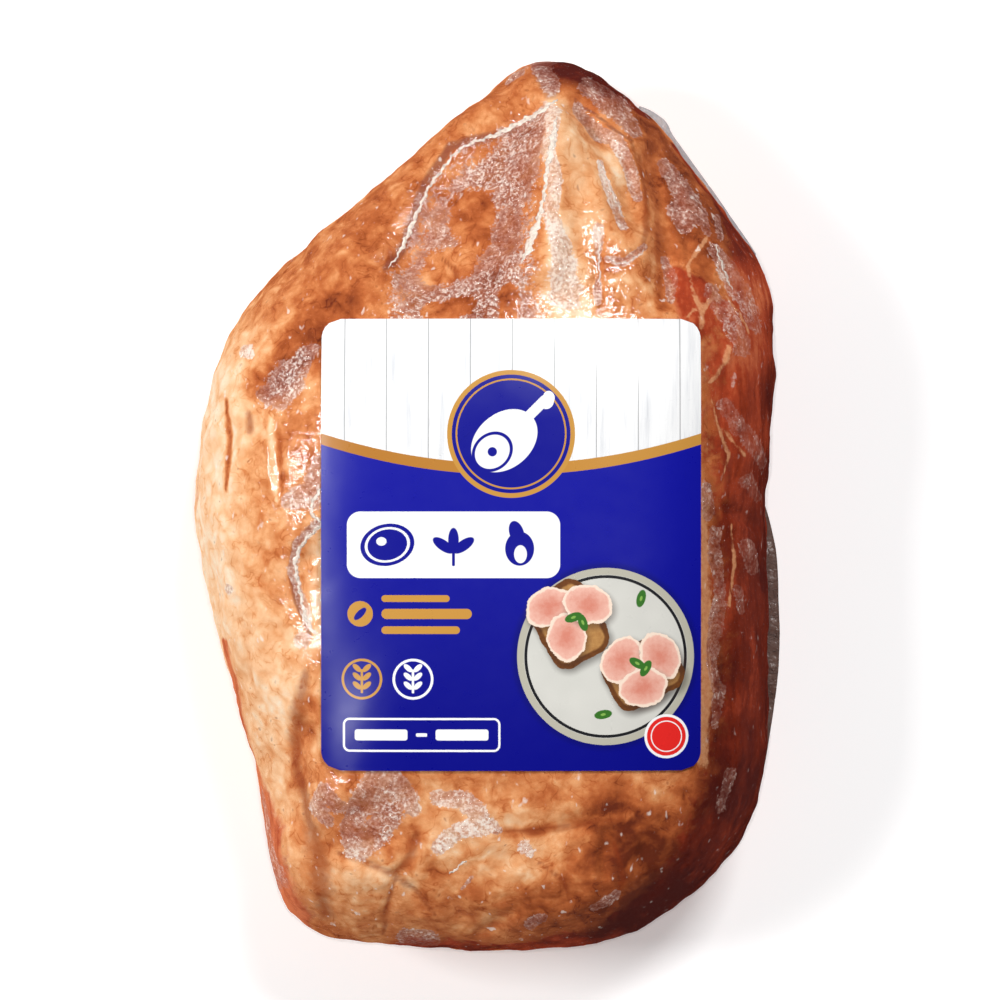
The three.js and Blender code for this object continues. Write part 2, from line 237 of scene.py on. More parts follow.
# Fine creases that only show close up
FINE_FURROWS = [
    ([(-63, 25), (-62, 18), (-62, 10), (-63, 5)], 0.9, 0.45),
    ([(-59, 24), (-57, 18)], 0.9, 0.25),
    ([(-52, 21), (-52, 14), (-51, 2)], 1.0, -0.4),
    ([(-50, 21), (-50, 12), (-49, 4)], 0.9, 0.35),
    ([(14, 98), (5, 90), (-5, 84), (-12, 76), (-17, 66), (-22, 57)], 1.6, 1.3),
    ([(22, 96), (27, 90), (33, 84), (36, 74)], 1.2, 0.9),
    ([(27, 82), (28, 76), (32, 66)], 1.2, 0.9),
    ([(26, 66), (26, 58), (26, 48)], 1.2, 0.8),
    ([(28, 58), (32, 57), (37, 61)], 1.0, 0.7),
    ([(45, 80), (47, 68), (49, 58)], 1.2, 0.9),
    ([(51, 6), (56, 0), (63, -4), (66, -6)], 1.2, 1.2),
    ([(53, 30), (56, 34), (59, 40)], 1.1, -0.7),
    ([(53, 25), (54, 17), (56, 11), (55, 6)], 0.9, -0.5),
    ([(28, -76), (28, -82), (27, -89)], 1.6, 1.0),
    ([(-14, -84), (-10, -92), (-6, -99)], 1.6, 0.9),
    ([(9, -93), (3, -99), (-4, -103)], 1.6, 0.9),
    ([(36, -80), (40, -88), (38, -94)], 1.6, 0.8),
    ([(-39, -10), (-44, -14), (-43, -24), (-39, -30)], 1.4, 0.9),
    ([(-36, -83), (-29, -85), (-22, -88), (-14, -97)], 1.5, 0.9),
    ([(-22, -88), (-18, -83), (-17, -78)], 1.4, 0.8),
    ([(-22, -88), (-25, -103)], 1.5, 0.7),
]


def ease(value, low, high):
    """0 at low and 1 at high, with a soft start and end. low may be above high."""
    share = np.clip((value - low) / (high - low), 0, 1)
    return share * share * (3 - 2 * share)


def slide(a, b, low, high, t):
    """The place on the way from a to b, as t goes from low to high."""
    return ((high - t) * a + (t - low) * b) / (high - low)


def outline(points, steps=60):
    """A smooth closed curve through points, as many short steps."""
    points = np.array(points, float)
    stretches = []
    for i in range(len(points)):
        p0, p1, p2, p3 = (points[(i + k) % len(points)] for k in (-1, 0, 1, 2))
        t1 = math.sqrt(np.linalg.norm(p1 - p0))
        t2 = t1 + math.sqrt(np.linalg.norm(p2 - p1))
        t3 = t2 + math.sqrt(np.linalg.norm(p3 - p2))
        t = np.linspace(t1, t2, steps, endpoint=False)[:, None]
        first, second = slide(p0, p1, 0, t1, t), slide(p1, p2, t1, t2, t)
        third = slide(p2, p3, t2, t3, t)
        stretches.append(
            slide(slide(first, second, 0, t2, t), slide(second, third, t1, t3, t), t1, t2, t)
        )
    return np.concatenate(stretches)


edge_line = outline(EDGE)


def reach(x, y):
    """How far the edge is from the centre in the direction of each point."""
    out = edge_line - CENTRE
    turns = np.arctan2(out[:, 1], out[:, 0])
    order = np.argsort(turns)
    here = np.arctan2(y - CENTRE[1], x - CENTRE[0])
    lengths = np.hypot(out[:, 0], out[:, 1])
    return np.interp(here, turns[order], lengths[order], period=2 * math.pi)


def taper(y):
    """How much of the front's height is left at y."""
    return 1 - (1 - TAPER_LEFT) * ease(y, TAPER_FROM, TAPER_TO)


def crown(x, y):
    """Height of the smooth front, with no relief, above the table."""
    share = np.hypot(x - CENTRE[0], y - CENTRE[1]) / reach(x, y)
    return BACK_DEPTH + FRONT_DEPTH * taper(y) * (
        1 - np.clip(share, 0, 1) ** SHOULDER
    ) ** (1 / ROUNDNESS)


def along(points, x, y):
    """Distance to a line of straight stretches, and how far along it the nearest place is."""
    nearest, place = np.full(x.shape, np.inf), np.zeros(x.shape)
    for i, ((ax, ay), (bx, by)) in enumerate(zip(points, points[1:])):
        dx, dy = bx - ax, by - ay
        t = np.clip(((x - ax) * dx + (y - ay) * dy) / (dx * dx + dy * dy), 0, 1)
        gap = np.hypot(x - ax - t * dx, y - ay - t * dy)
        closer = gap < nearest
        nearest = np.where(closer, gap, nearest)
        place = np.where(closer, (i + t) / (len(points) - 1), place)
    return nearest, place


LINE_FADE, LINE_OVERRUN = 0.2, 0.05  # as shares of a furrow's length


def furrow_relief(furrows, x, y):
    """The depth, below 0, of rounded furrows that fade out at their ends."""
    total = np.zeros(x.shape)
    for points, width, depth in furrows:
        gap, place = along(points, x, y)
        ends = ease(np.minimum(place, 1 - place), -LINE_OVERRUN, LINE_FADE - LINE_OVERRUN)
        total -= depth * np.exp(-((gap / width) ** 2)) * ends
    return total


DENT_FLAT, DENT_EASE = 0.35, 1.25  # as shares of a dent's half-widths


def dent_relief(x, y):
    """The depth, below 0, of the broad oval dents."""
    total = np.zeros(x.shape)
    for (cx, cy), (rx, ry), turn, depth in DENTS:
        turn = math.radians(turn)
        u = ((x - cx) * math.cos(turn) + (y - cy) * math.sin(turn)) / rx
        v = ((y - cy) * math.cos(turn) - (x - cx) * math.sin(turn)) / ry
        total -= depth * (1 - ease(np.hypot(u, v), DENT_FLAT, DENT_EASE))
    return total


SWELL_GAP, SWELL_FADE = 4.0, 12.0  # how far from the label relief starts, and is whole


def beside_label(x, y, gap=SWELL_GAP, fade=SWELL_FADE):
    """0 under the label and 1 well away from it."""
    out_x = np.maximum(np.abs(x - LABEL_CENTRE[0]) - LABEL_SIZE[0] / 2, 0)
    out_y = np.maximum(np.abs(y - LABEL_CENTRE[1]) - LABEL_SIZE[1] / 2, 0)
    return ease(np.hypot(out_x, out_y), gap, fade)


def quarter(shoulder, turn):
    """A quarter of a section from the edge, turn 0, to the middle, as shares out and away."""
    out = np.cos(turn) ** (2 / shoulder)
    return out, np.sin(turn) ** (2 / ROUNDNESS)


FINE_TURNS = 4000


def even_turns(shoulder, width, depth, first, last, count):
    """Turns that space count rings evenly after the turn first, up to the turn last."""
    fine = np.linspace(first, last, FINE_TURNS)
    out, away = quarter(shoulder, fine)
    steps = np.hypot(np.diff(out) * width, np.diff(away) * depth)
    length = np.concatenate([[0], np.cumsum(steps)])
    return np.interp(np.linspace(0, length[-1], count + 1)[1:], length, fine)


# Rings of faces: few where the label hides the ham, many on the shown flanks, fewer behind
SEGMENTS = 512
HIDDEN_RINGS, SHOWN_RINGS, BACK_RINGS, BASE_RINGS = 12, 84, 44, 10
RINGS = HIDDEN_RINGS + SHOWN_RINGS + BACK_RINGS + BASE_RINGS
HIDDEN_SHARE = 0.42
TYPICAL_REACH = 80.0


def smooth_form():
    """Points of the ham with no relief, as rows from the top of the crown to the middle of
    the resting face, and the outward normals there."""
    lengths = np.concatenate([[0], np.cumsum(np.hypot(*np.diff(edge_line, axis=0).T))])
    steps = np.searchsorted(lengths, np.linspace(0, lengths[-1], SEGMENTS, endpoint=False))
    edge = edge_line[steps]
    out_of = edge - CENTRE
    rows = []
    first_shown = math.acos(HIDDEN_SHARE ** (SHOULDER / 2))
    shares = np.linspace(0, HIDDEN_SHARE, HIDDEN_RINGS + 1)
    turns = np.arccos(shares ** (SHOULDER / 2)).tolist()
    turns += even_turns(
        SHOULDER, TYPICAL_REACH, FRONT_DEPTH, first_shown, 0.0, SHOWN_RINGS
    ).tolist()
    for turn in turns:
        share, away = quarter(SHOULDER, max(turn, 0.0))
        plan = CENTRE + share * out_of
        rows.append(np.column_stack([plan, BACK_DEPTH + FRONT_DEPTH * taper(plan[:, 1]) * away]))
    shankward = ease(edge[:, 1], TAPER_FROM, TAPER_TO)[:, None]
    base = BASE_AT_FOOT + (BASE_AT_SHANK - BASE_AT_FOOT) * shankward
    back_width = TYPICAL_REACH * (1 - BASE_AT_FOOT)
    for turn in even_turns(BACK_SHOULDER, back_width, BACK_DEPTH, 0, math.pi / 2, BACK_RINGS):
        share, away = quarter(BACK_SHOULDER, min(turn, math.pi / 2))
        plan = CENTRE + (base + (1 - base) * share) * out_of
        rows.append(np.column_stack([plan, np.full(SEGMENTS, BACK_DEPTH * (1 - away))]))
    for share in np.linspace(1, 0, BASE_RINGS + 1)[1:]:
        rows.append(np.column_stack([CENTRE + base * share * out_of, np.zeros(SEGMENTS)]))
    form = np.array(rows)
    down = np.gradient(form, axis=0)
    round_ = np.roll(form, -1, axis=1) - np.roll(form, 1, axis=1)
    normal = np.cross(down, round_)
    normal /= np.maximum(np.linalg.norm(normal, axis=2, keepdims=True), 1e-9)
    normal[0] = (0, 0, 1)
    normal[-BASE_RINGS:] = (0, 0, -1)
    return form, normal


form, form_normal = smooth_form()
form_x, form_y, form_z = form[..., 0], form[..., 1], form[..., 2]
EDGE_FADE = 14.0  # relief grows from nothing over this height from the widest level
frontness = ease(form_z - BACK_DEPTH, 0, EDGE_FADE)
backness = ease(BACK_DEPTH - form_z, 0, EDGE_FADE) * ease(form_z, 0, EDGE_FADE)
FILM_GAP = 0.35  # the film's share of the pack's thickness, with the gel under it
BRIDGED_FURROW, BRIDGED_DENT, BRIDGED_FINE = 0.7, 0.9, 0.45  # how far film follows a hollow


def meat_relief():
    """The relief of front and back, and the shallower relief of the film drawn over it."""
    furrow, dent = furrow_relief(FURROWS, form_x, form_y), dent_relief(form_x, form_y)
    fine = furrow_relief(FINE_FURROWS, form_x, form_y) * beside_label(form_x, form_y, 0, 3)
    meat = furrow + dent
    drawn = np.maximum(meat, BRIDGED_FURROW * furrow + BRIDGED_DENT * dent)
    outside = beside_label(form_x, form_y)
    meat, drawn = (np.where(front > 0, front * outside, front) for front in (meat, drawn))
    drawn = drawn + np.maximum(fine, BRIDGED_FINE * fine)
    back = furrow_relief(BACK_FURROWS, form_x, form_y) * backness
    return (meat + fine) * frontness + back, drawn * frontness + BRIDGED_FURROW * back


def points_of(piece):
    """The places of the piece's points in metres, a row for each."""
    flat = np.empty(len(piece.data.vertices) * 3)
    piece.data.vertices.foreach_get("co", flat)
    return flat.reshape(-1, 3)


def place_points(piece, places):
    """Moves the piece's points to the places given in millimetres."""
    piece.data.vertices.foreach_set("co", (places * MM).ravel())
    piece.data.update()


def fresh_grid(name, columns, rows):
    """A flat grid primitive, and the shares along and across it of each of its points."""
    bpy.ops.object.select_all(action="DESELECT")
    bpy.ops.mesh.primitive_grid_add(x_subdivisions=columns, y_subdivisions=rows, size=2.0)
    made = bpy.context.active_object
    made.name = made.data.name = name
    flat = points_of(made)
    return made, (flat[:, 0] + 1) / 2, (1 - flat[:, 1]) / 2


def wrapped_skin(name, offset):
    """A grid wrapped round the ham's form and moved out by offset, not sewn shut yet."""
    made, share_round, share_down = fresh_grid(name, SEGMENTS, RINGS)
    column = np.rint(share_round * SEGMENTS).astype(int) % SEGMENTS
    row = np.rint(share_down * RINGS).astype(int)
    points = form + form_normal * offset[..., None]
    points[..., 2] = np.maximum(points[..., 2], 0)
    place_points(made, points[row, column])
    return made, (row, column)


SEW_GAP = 1e-6


def sew(piece):
    """Joins the points that lie on each other and turns all faces outwards."""
    bpy.ops.object.select_all(action="DESELECT")
    piece.select_set(True)
    bpy.context.view_layer.objects.active = piece
    bpy.ops.object.mode_set(mode="EDIT")
    bpy.ops.mesh.select_all(action="SELECT")
    bpy.ops.mesh.remove_doubles(threshold=SEW_GAP)
    bpy.ops.mesh.normals_make_consistent(inside=False)
    bpy.ops.object.mode_set(mode="OBJECT")
    bpy.ops.object.shade_smooth()


def give_field(piece, picked, name, values):
    """Marks the piece's points with a value that its material reads by name."""
    field = piece.data.attributes.new(name, "FLOAT", "POINT")
    field.data.foreach_set("value", np.ascontiguousarray(values[picked], np.float32))


def strokes(marks, x, y):
    """1 on the middle of the broad brush strokes, 0 at their edges and less beyond. A stroke is
    a row of places with the half-width there."""
    field = np.full(x.shape, -1.0)
    for mark in marks:
        mark = mark if len(mark) > 1 else mark * 2
        for (ax, ay, aw), (bx, by, bw) in zip(mark, mark[1:]):
            dx, dy = bx - ax, by - ay
            t = np.clip(((x - ax) * dx + (y - ay) * dy) / max(dx * dx + dy * dy, 1e-9), 0, 1)
            width = aw + t * (bw - aw)
            gap = np.hypot(x - ax - t * dx, y - ay - t * dy)
            field = np.maximum(field, 1 - gap / width)
    return field


# Where the smoke, the lean and the pale fat show on the front, as strokes of place and
# half-width
LEAN = [
    [(13, 107, 4), (22, 106, 5), (31, 102, 5), (38, 97, 3)],
    [(46, 90, 2), (56, 76, 3), (63, 64, 6), (66, 50, 12), (66, 36, 17), (66, 18, 18)],
    [(66, 18, 18), (66, 0, 15), (67, -20, 14), (67, -45, 14), (64, -66, 14), (56, -82, 12)],
    [(56, -82, 12), (44, -96, 9), (28, -106, 6), (6, -110, 6), (-20, -108, 5)],
    [(-64, -33, 1.5), (-61, -50, 2), (-57, -66, 2.5), (-54, -78, 4), (-52, -90, 5), (-47, -98, 5)],
    [(-71, 8, 1.3), (-71.5, -4, 1.3)],
    [(45, 56, 2), (49, 50, 5), (50, 44, 6)],
]
# How much lighter or darker the flesh is than its usual tone, stroke painted over stroke. Some strokes
# are painted light and shade, as their comments say
TONES = [
    (-0.06, [(5, 103, 8), (-12, 90, 12), (-30, 73, 14), (-45, 56, 13)]),
    (-0.14, [(-24, 70, 3), (-30, 60, 5), (-38, 52, 5)]),
    (0.2, [(-62, 34, 13), (-66, 12, 14), (-66, -10, 14), (-60, -32, 14), (-54, -66, 13)]),
    (0.34, [(-66, 28, 8), (-69, 10, 9), (-69, -8, 9), (-65, -28, 8)]),
    (-0.12, [(8, 88, 6), (0, 72, 12), (-6, 52, 15)]),
    (-0.24, [(-4, 71, 6), (0, 67, 4)]),
    (0.02, [(-13, 57, 6), (-7, 57, 6)]),
    # Darker along the left furrow: painted shade in the groove
    (-0.3, [(-34, 48, 5), (-45, 37, 6), (-54, 29, 4)]),
    (0.06, [(-49, 8, 7), (-50, -14, 7)]),
    (0.0, [(27, 92, 3), (31, 76, 7), (33, 58, 11), (33, 44, 12)]),
    # Paler ridge: pale fat, and in part a painted highlight along its crest
    (0.2, [(16, 96, 3), (20, 84, 5), (24, 76, 7), (24, 66, 6)]),
    (0.26, [(15, 92, 1), (14.4, 85, 1.6), (15.8, 77, 1.8), (14.8, 69, 2.6)]),
    (0.36, [(16.5, 64, 3.4), (18, 54, 5.5), (20, 43, 7)]),
    (-0.3, [(-6, 51, 6), (2, 51, 6)]),
    (0.3, [(30, 84, 1.8), (32, 78, 2)]),
    (0.3, [(-38, -10, 5), (-38, -26, 6)]),
    (-0.3, [(38, 94, 4), (44, 82, 6), (50, 68, 8), (52, 56, 7)]),
    (-0.08, [(-34, -72, 7), (-20, -78, 7)]),
    (0.16, [(-12, -74, 6), (6, -80, 10)]),
    (0.14, [(-34, -88, 7), (-22, -92, 7)]),
    (-0.06, [(-24, -101, 8), (-2, -99, 9)]),
    (0.24, [(-50, -36, 9), (-49, -54, 8)]),
    (0.1, [(-47, -70, 5), (-46, -88, 5)]),
    # Darker along the lower left furrow: painted shade on its side
    (-0.1, [(-42, -48, 3), (-46, -57, 3), (-47, -66, 3)]),
    (-0.2, [(-34, -106, 4), (-42, -103, 3)]),
    (-0.28, [(12, -97, 8), (26, -94, 12)]),
    (-0.43, [(30, -74, 8), (38, -84, 12)]),
    (-0.14, [(2, -77, 1), (12, -77, 1.4), (24, -74.5, 1.4), (34, -73, 1)]),
    (-0.4, [(20, 106, 7), (32, 101, 6)]),
    (-0.32, [(55, 68, 7), (60, 60, 6)]),
    (-0.04, [(46, 55, 3), (49, 47, 6)]),
    (-0.2, [(42, 84, 1.5), (42.6, 72, 1.6), (42, 60, 1.4), (41.6, 47, 1.6)]),
    (0.04, [(59, 52, 7), (61, 34, 10)]),
    (-0.08, [(62, 18, 13), (63, 4, 12)]),
    (-0.2, [(62, -10, 13), (62, -26, 13)]),
    (-0.28, [(61, -45, 14), (60, -60, 13)]),
    (-0.4, [(57, -74, 12), (48, -88, 11), (30, -102, 8)]),
    # Darker far right edge: smoked lean, and in part painted shade where the flank turns from the
    # light
    (-0.42, [(73, 44, 6), (73, 0, 8), (73, -40, 8), (68, -72, 7)]),
    (0.24, [(-61, -52, 3), (-56, -76, 5), (-53, -90, 5), (-47, -98, 4)]),
    # Thin pale and dark lines beside the fine creases at the left: painted highlights and painted
    # shadows
    (0.34, [(-60.5, 24, 0.7), (-60.8, 13, 0.8), (-61.6, 4, 0.7)]),
    (-0.16, [(-62.4, 25, 0.6), (-62.2, 13, 0.7), (-62.8, 4, 0.5)]),
    (0.3, [(-51.6, 21, 0.7), (-50.6, 8, 0.8), (-50, 1, 0.6)]),
    (-0.12, [(-49.8, 18, 0.7), (-48.9, 8, 0.8), (-48.6, 3, 0.6)]),
]
# Mauve-brown bands: painted shadow beside the film's folds and in the left furrow, with the mauve of
# gel in part; on the back they are mauve spots at the gel
MAUVE_GEL_AND_SHADE = [
    [(12, 94.6, 0.5), (5, 91, 0.7), (-1.4, 88.2, 0.7), (-8.4, 84.7, 0.7), (-11.8, 80.4, 0.7),
     (-14.6, 76.4, 0.7), (-18.1, 68.6, 0.7), (-21, 61.6, 0.7), (-24.3, 56.5, 0.7)],
    [(-40, -4, 0.8), (-45.6, -9, 0.8), (-46.8, -16, 0.9), (-45.4, -23, 0.7), (-42, -31, 0.6)],
    [(-44, 37, 1.5), (-50, 30, 3)],
    [(12, 105, 2), (15, 100, 2.5)],
    [(21.3, 97.7, 0.4), (25.8, 94.8, 0.4), (30.6, 90, 0.4), (34.4, 87.1, 0.3)],
]
# Thin red-brown creases in the fat, where juice has gathered and where shade is painted into them
CREASES = [
    [(-43, -39, 1), (-45, -48, 2), (-47.5, -56, 1.6), (-47.5, -64, 1.4)],
    [(-46, -66, 1.6), (-43, -78, 2.4), (-40, -88, 2.6), (-39, -98, 2)],
    [(-36, -83, 0.5), (-29, -85, 0.7), (-22, -88, 0.9), (-17, -92, 0.8), (-13, -97, 0.6)],
    [(-22, -88, 0.7), (-18, -83, 1.0), (-17, -78, 0.8)],
    [(-22, -88, 0.6), (-24, -96, 0.5), (-25, -103, 0.5)],
    [(4, -76.5, 0.6), (12, -77, 0.8), (20, -76, 0.7), (32, -73.5, 0.6)],
    [(-57.2, 22, 0.8), (-56.8, 18, 1.0)],
    [(26, 62, 0.4), (26.4, 52, 0.5), (26, 45, 0.5)],
    [(37, 84, 0.7), (38.5, 74, 0.9), (38, 66, 0.9), (36, 60, 0.6)],
    [(34, 88, 0.5), (37, 80, 0.6)],
    [(12, -84, 0.4), (18, -88, 0.6), (20, -95, 0.5)],
    [(30, -80, 0.6), (32, -88, 0.7), (29, -96, 0.6)],
    [(-12, 60.5, 0.4), (-8.4, 57.4, 0.6), (-8, 54.6, 0.5)],
]
FAT_LINES = [
    [(50.5, 42, 0.9), (50.7, 46.4, 0.8), (53.5, 49.5, 0.6), (56, 52.5, 0.4)],
    [(50.7, 46.4, 0.6), (48.6, 51, 0.5), (47.8, 57, 0.6), (50, 61, 0.7), (52.8, 64.3, 0.4)],
    [(49, 47, 0.4), (47, 44.5, 0.3)],
    [(57, 38, 0.4), (56, 34, 1.0), (54, 30.5, 0.9), (52.5, 29, 0.5)],
    [(53, 25, 0.4), (54.5, 18, 0.5), (57, 12, 0.7), (55.5, 7, 0.4)],
    [(56, 18, 0.4), (60, 12, 0.5)],
    [(57, 50, 0.3), (60, 45, 0.6), (62, 41, 0.4)],
    [(52, 2, 1.4), (52, -22, 2.4), (52, -46, 2.4), (51, -60, 1.8)],
    [(58, -4, 0.3), (59, -14, 0.5), (58, -24, 0.4)],
]
GEL = [
    [(14, 94, 3), (7, 85, 7), (0, 75, 11), (-5, 64, 14), (-6, 54, 16), (-5, 44, 17)],
    [(16, 94, 1.4), (14.6, 84, 1.2), (16, 76, 1.5), (14.4, 68, 2), (17.5, 60, 2.6), (18.4, 50, 4)],
    [(22, 96, 1.4), (27, 90, 1.8), (31, 88, 1.4), (33, 84, 1.6), (35, 80, 1.4), (36, 74, 1.4)],
    [(27, 82, 0.8), (28, 76, 1.1), (30, 72, 1.6), (32, 66, 1.2)],
    [(26, 65, 1.3), (26, 60, 1.0)],
    [(28, 58, 0.8), (32, 57, 1.0), (37, 61, 0.8)],
    [(26, 53, 0.9), (26, 48, 0.9)],
    [(12, 106, 2.2), (15, 101, 2.6)],
    [(24, 101, 2.2), (28, 98, 2.8), (32, 95, 2.8), (35, 90, 2.2)],
    [(3, 102, 1.2), (8, 104, 1.0)],
    [(-4, 97.6, 0.9), (-12, 91, 1.0), (-19, 84.6, 0.9)],
    [(-27, 77.6, 0.8), (-36, 70.2, 0.9)],
    [(43, 83, 1.2), (46, 78, 2.0), (48.5, 73, 2.6), (50, 69, 2.2)],
    [(46, 72, 2.0), (48, 67, 1.6)],
    [(51, 70, 1.6), (52.6, 65, 0.8)],
    [(43, 60, 0.8), (44, 54, 1.4), (43.5, 49, 0.8)],
    [(55, 69, 0.9), (55.6, 64, 0.9)],
    [(54, 61, 1.6), (57, 56, 2.4), (61, 50, 2.6), (64, 43, 2.2)],
    [(53, 51, 1.8), (57, 45, 2.2), (60, 38, 2.4)],
    [(56, 24, 1.6), (59, 19, 2.0), (63, 14, 2.2), (66, 10, 1.6)],
    [(62, 6, 1.8), (65, 2, 1.2)],
    [(62, -10, 2.0), (64, -15, 1.4)],
    [(60, -20, 1.4), (61, -25, 1.0)],
    [(52, 4, 1.6), (53, -2, 1.8)],
    [(58, -64, 1.6), (56, -72, 1.4)],
    [(55, -6, 1.4), (55, -12, 1.9), (56, -17, 1.2), (56, -23, 1.6), (55, -28, 1.9),
     (54, -37, 1.9), (56, -44, 1.6), (55, -52, 1.0)],
    [(30, -92, 1.6), (25, -95, 1.2)],
    [(-42, 38, 1.6), (-44, 36, 2.6), (-48, 31, 4.6), (-50, 27, 4.6), (-54, 27, 1.6)],
    [(-38, 10, 3), (-41, 3, 4.2), (-47, 1, 2)],
    [(-40, -4, 1.2), (-45, -9, 1.0), (-46.5, -15, 1.2), (-45, -21, 0.8), (-43, -27, 1.2)],
    [(-44, -32, 2)],
    [(-58, 37, 2)],
    [(-62, -20, 1.3)],
    [(-39, -67.5, 2), (-41, -71.5, 2.5), (-38.5, -74.5, 2)],
    [(-38, -68, 1.6), (-35.6, -71, 1.8)],
    [(-26, -63, 3), (-20, -66.5, 2.6), (-17.5, -72, 2)],
    [(-27, -66, 3.6), (-30, -71, 3.4), (-33, -77, 2.8), (-32.4, -82, 2.4)],
    [(-22, -69, 3.6), (-25, -75, 3.6), (-28, -80, 3.4), (-30, -83, 2)],
    [(-12, -69, 1.8), (-5.5, -69.5, 2.4), (-2, -73, 2.8), (2.4, -76.6, 1.3)],
    [(-1, -76, 2.0), (-7, -77, 2.2), (-11.6, -80.6, 1.8)],
    [(8.6, -81, 1.8), (10, -82, 1.2)],
    [(-6.3, -90.8, 0.4), (-3.8, -88, 0.5)],
    [(-20, -103.6, 2), (-14, -104.4, 2.4)],
    [(10, -99, 1.4), (13, -97, 1.2)],
    [(-57, -66, 0.9), (-55, -74, 1.6), (-53, -82, 1.2), (-50, -90, 2)],
]
GEL_FREE = [
    [(-5, 71, 6.5), (-4, 64, 4)],
    [(-12, 58.6, 4.8), (-8.6, 58.6, 4.6)],
    [(5, 50, 2.4), (5, 44, 2.4)],
    [(-13, 46, 3), (-5, 47.5, 2.4)],
    [(-19.5, -79, 2.6), (-19, -84, 3)],
    [(-13.6, -74, 1.5)],
]
# Where the frost under the film is thick and white, and its painted glints are brightest
SPARKLE = [
    [(-22, 45, 4), (-15, 48, 4), (-8, 49, 4), (0, 51, 5), (6, 54, 5), (10, 58, 4), (12, 66, 3)],
    [(-11, 45, 4), (5, 47, 5), (13, 47, 4)],
    [(12, 93, 2), (5, 87, 4), (-3, 81, 5), (3, 76, 4)],
    [(-45, 35, 3), (-49, 29, 4)],
    [(-22, -72, 3), (-24, -82, 3)],
    [(-10, -79, 2.5), (1, -76, 2.5)],
    [(-39, 0, 3), (-44, -16, 1.5)],
    [(62, 48, 3), (57, 42, 2)],
    [(-56, -72, 2), (-51, -88, 2.5)],
]

# The back has the same marks, strewn by a seeded draw
draw = np.random.default_rng(7)
BACK_SPOTS = 26
SPOT_LIMITS = ((-52, 52), (-88, 84), (1.5, 7), (-10, 10), (-14, 14))  # place, width and reach
BACK_GEL = [
    [(x, y, width), (x + dx, y + dy, width * 0.8)]
    for x, y, width, dx, dy in zip(*(draw.uniform(*limits, BACK_SPOTS) for limits in SPOT_LIMITS))
]
BACK_LEAN = [[(58, 40, 16), (60, 0, 18), (58, -50, 18), (30, -96, 12)], [(-20, 40, 9), (-14, 10, 6)]]
# Red-brown along the back's furrows: juice, and painted shade in them in part
BACK_CREASES = [
    [(-30, 62, 1), (-36, 20, 1.4), (-44, -30, 1.4), (-36, -80, 1)],
    [(20, 88, 1), (38, 50, 1.2), (44, 0, 1.4), (48, -50, 1)],
    [(-40, -66, 1), (0, -86, 1.4), (36, -78, 1)],
]
BACK_TONES = [
    (0.16, [(-62, 30, 16), (-66, -20, 16), (-56, -60, 16)]),
    (0.22, [(0, 30, 20), (-10, -40, 26)]),
    (-0.14, [(-20, -90, 12), (20, -94, 12)]),
    (-0.14, [(10, 90, 12), (24, 60, 10)]),
    (-0.16, [(60, 40, 12), (62, 0, 14), (58, -50, 14)]),
]
# On the flanks the marks sway from side to side, and those of front and back run into each other
SWAY_STARTS, SWAY_WHOLE = 48, 30  # heights
flank = ease(form_z, SWAY_STARTS, SWAY_WHOLE)
sway_x = 3 * np.sin(form_z / 5 + form_y / 13) + 2 * np.sin(form_y / 5)
sway_y = 7 * np.sin(form_z / 8 + form_x / 17) + 3 * np.sin(form_z / 3.4 + form_y / 9)
mark_x, mark_y = form_x + flank * sway_x, form_y + flank * sway_y
BACK_WHOLE, FRONT_WHOLE = 8, 36  # heights between which the marks of the back give way
front_share = ease(form_z + sway_x + 0.6 * sway_y, BACK_WHOLE, FRONT_WHOLE)


def painted(marks, x, y):
    """The sum of soft strokes, each laid over the ones before it."""
    level = np.zeros(x.shape)
    for shift, mark in marks:
        level += (shift - level) * ease(strokes([mark], x, y), -0.5, 0.7)
    return level


def both_sides(front_marks, back_marks, brush=strokes):
    """A field that takes its front from one set of strokes and its back from another."""
    front, back = brush(front_marks, mark_x, mark_y), brush(back_marks, mark_x, mark_y)
    return back + (front - back) * front_share


NO_MARK = [[(0, 0, 0.1)]]
HAM_FIELDS = {
    "lean": both_sides(LEAN, BACK_LEAN),
    "tone": both_sides(TONES, BACK_TONES, painted),
    "mauve_gel_and_shade": both_sides(MAUVE_GEL_AND_SHADE, BACK_GEL[:6]),
    "crease": both_sides(CREASES, BACK_CREASES),
    "fat_line": both_sides(FAT_LINES, [[(50, 60, 1.5), (56, 20, 2), (50, -30, 1.5)]]),
    "gel": np.clip(np.minimum(
        2 * both_sides(GEL, BACK_GEL), -2 * both_sides(GEL_FREE, NO_MARK)
    ), -1.5, 1.2),
    "sparkle": both_sides(SPARKLE, BACK_GEL[6:14]),
}


# The export drops a displacement made by a shader, so the small lumps are moved points too
def lumps(piece, name, size, strength, middle):
    """Displaces the piece by soft lumps of size millimetres, where its group free_skin lets it."""
    cloud = bpy.data.textures.new(name, "CLOUDS")
    cloud.noise_scale = size * MM
    cloud.noise_depth = 1
    modifier = piece.modifiers.new(name, "DISPLACE")
    modifier.texture = cloud
    modifier.texture_coords = "LOCAL"
    modifier.strength = strength * MM
    modifier.mid_level = middle
    modifier.vertex_group = "free_skin"
    bpy.context.view_layer.objects.active = piece
    bpy.ops.object.modifier_apply(modifier=name)


def mark_free_skin(piece, picked):
    """Lumps die away under the label and on the resting face."""
    free = beside_label(form_x, form_y, 0, 5)
    free = np.where(form_z > BACK_DEPTH, free, 1) * ease(form_z, 0.5, 10)
    group = piece.vertex_groups.new(name="free_skin")
    for index, weight in enumerate(free[picked]):
        group.add([index], float(weight), "REPLACE")


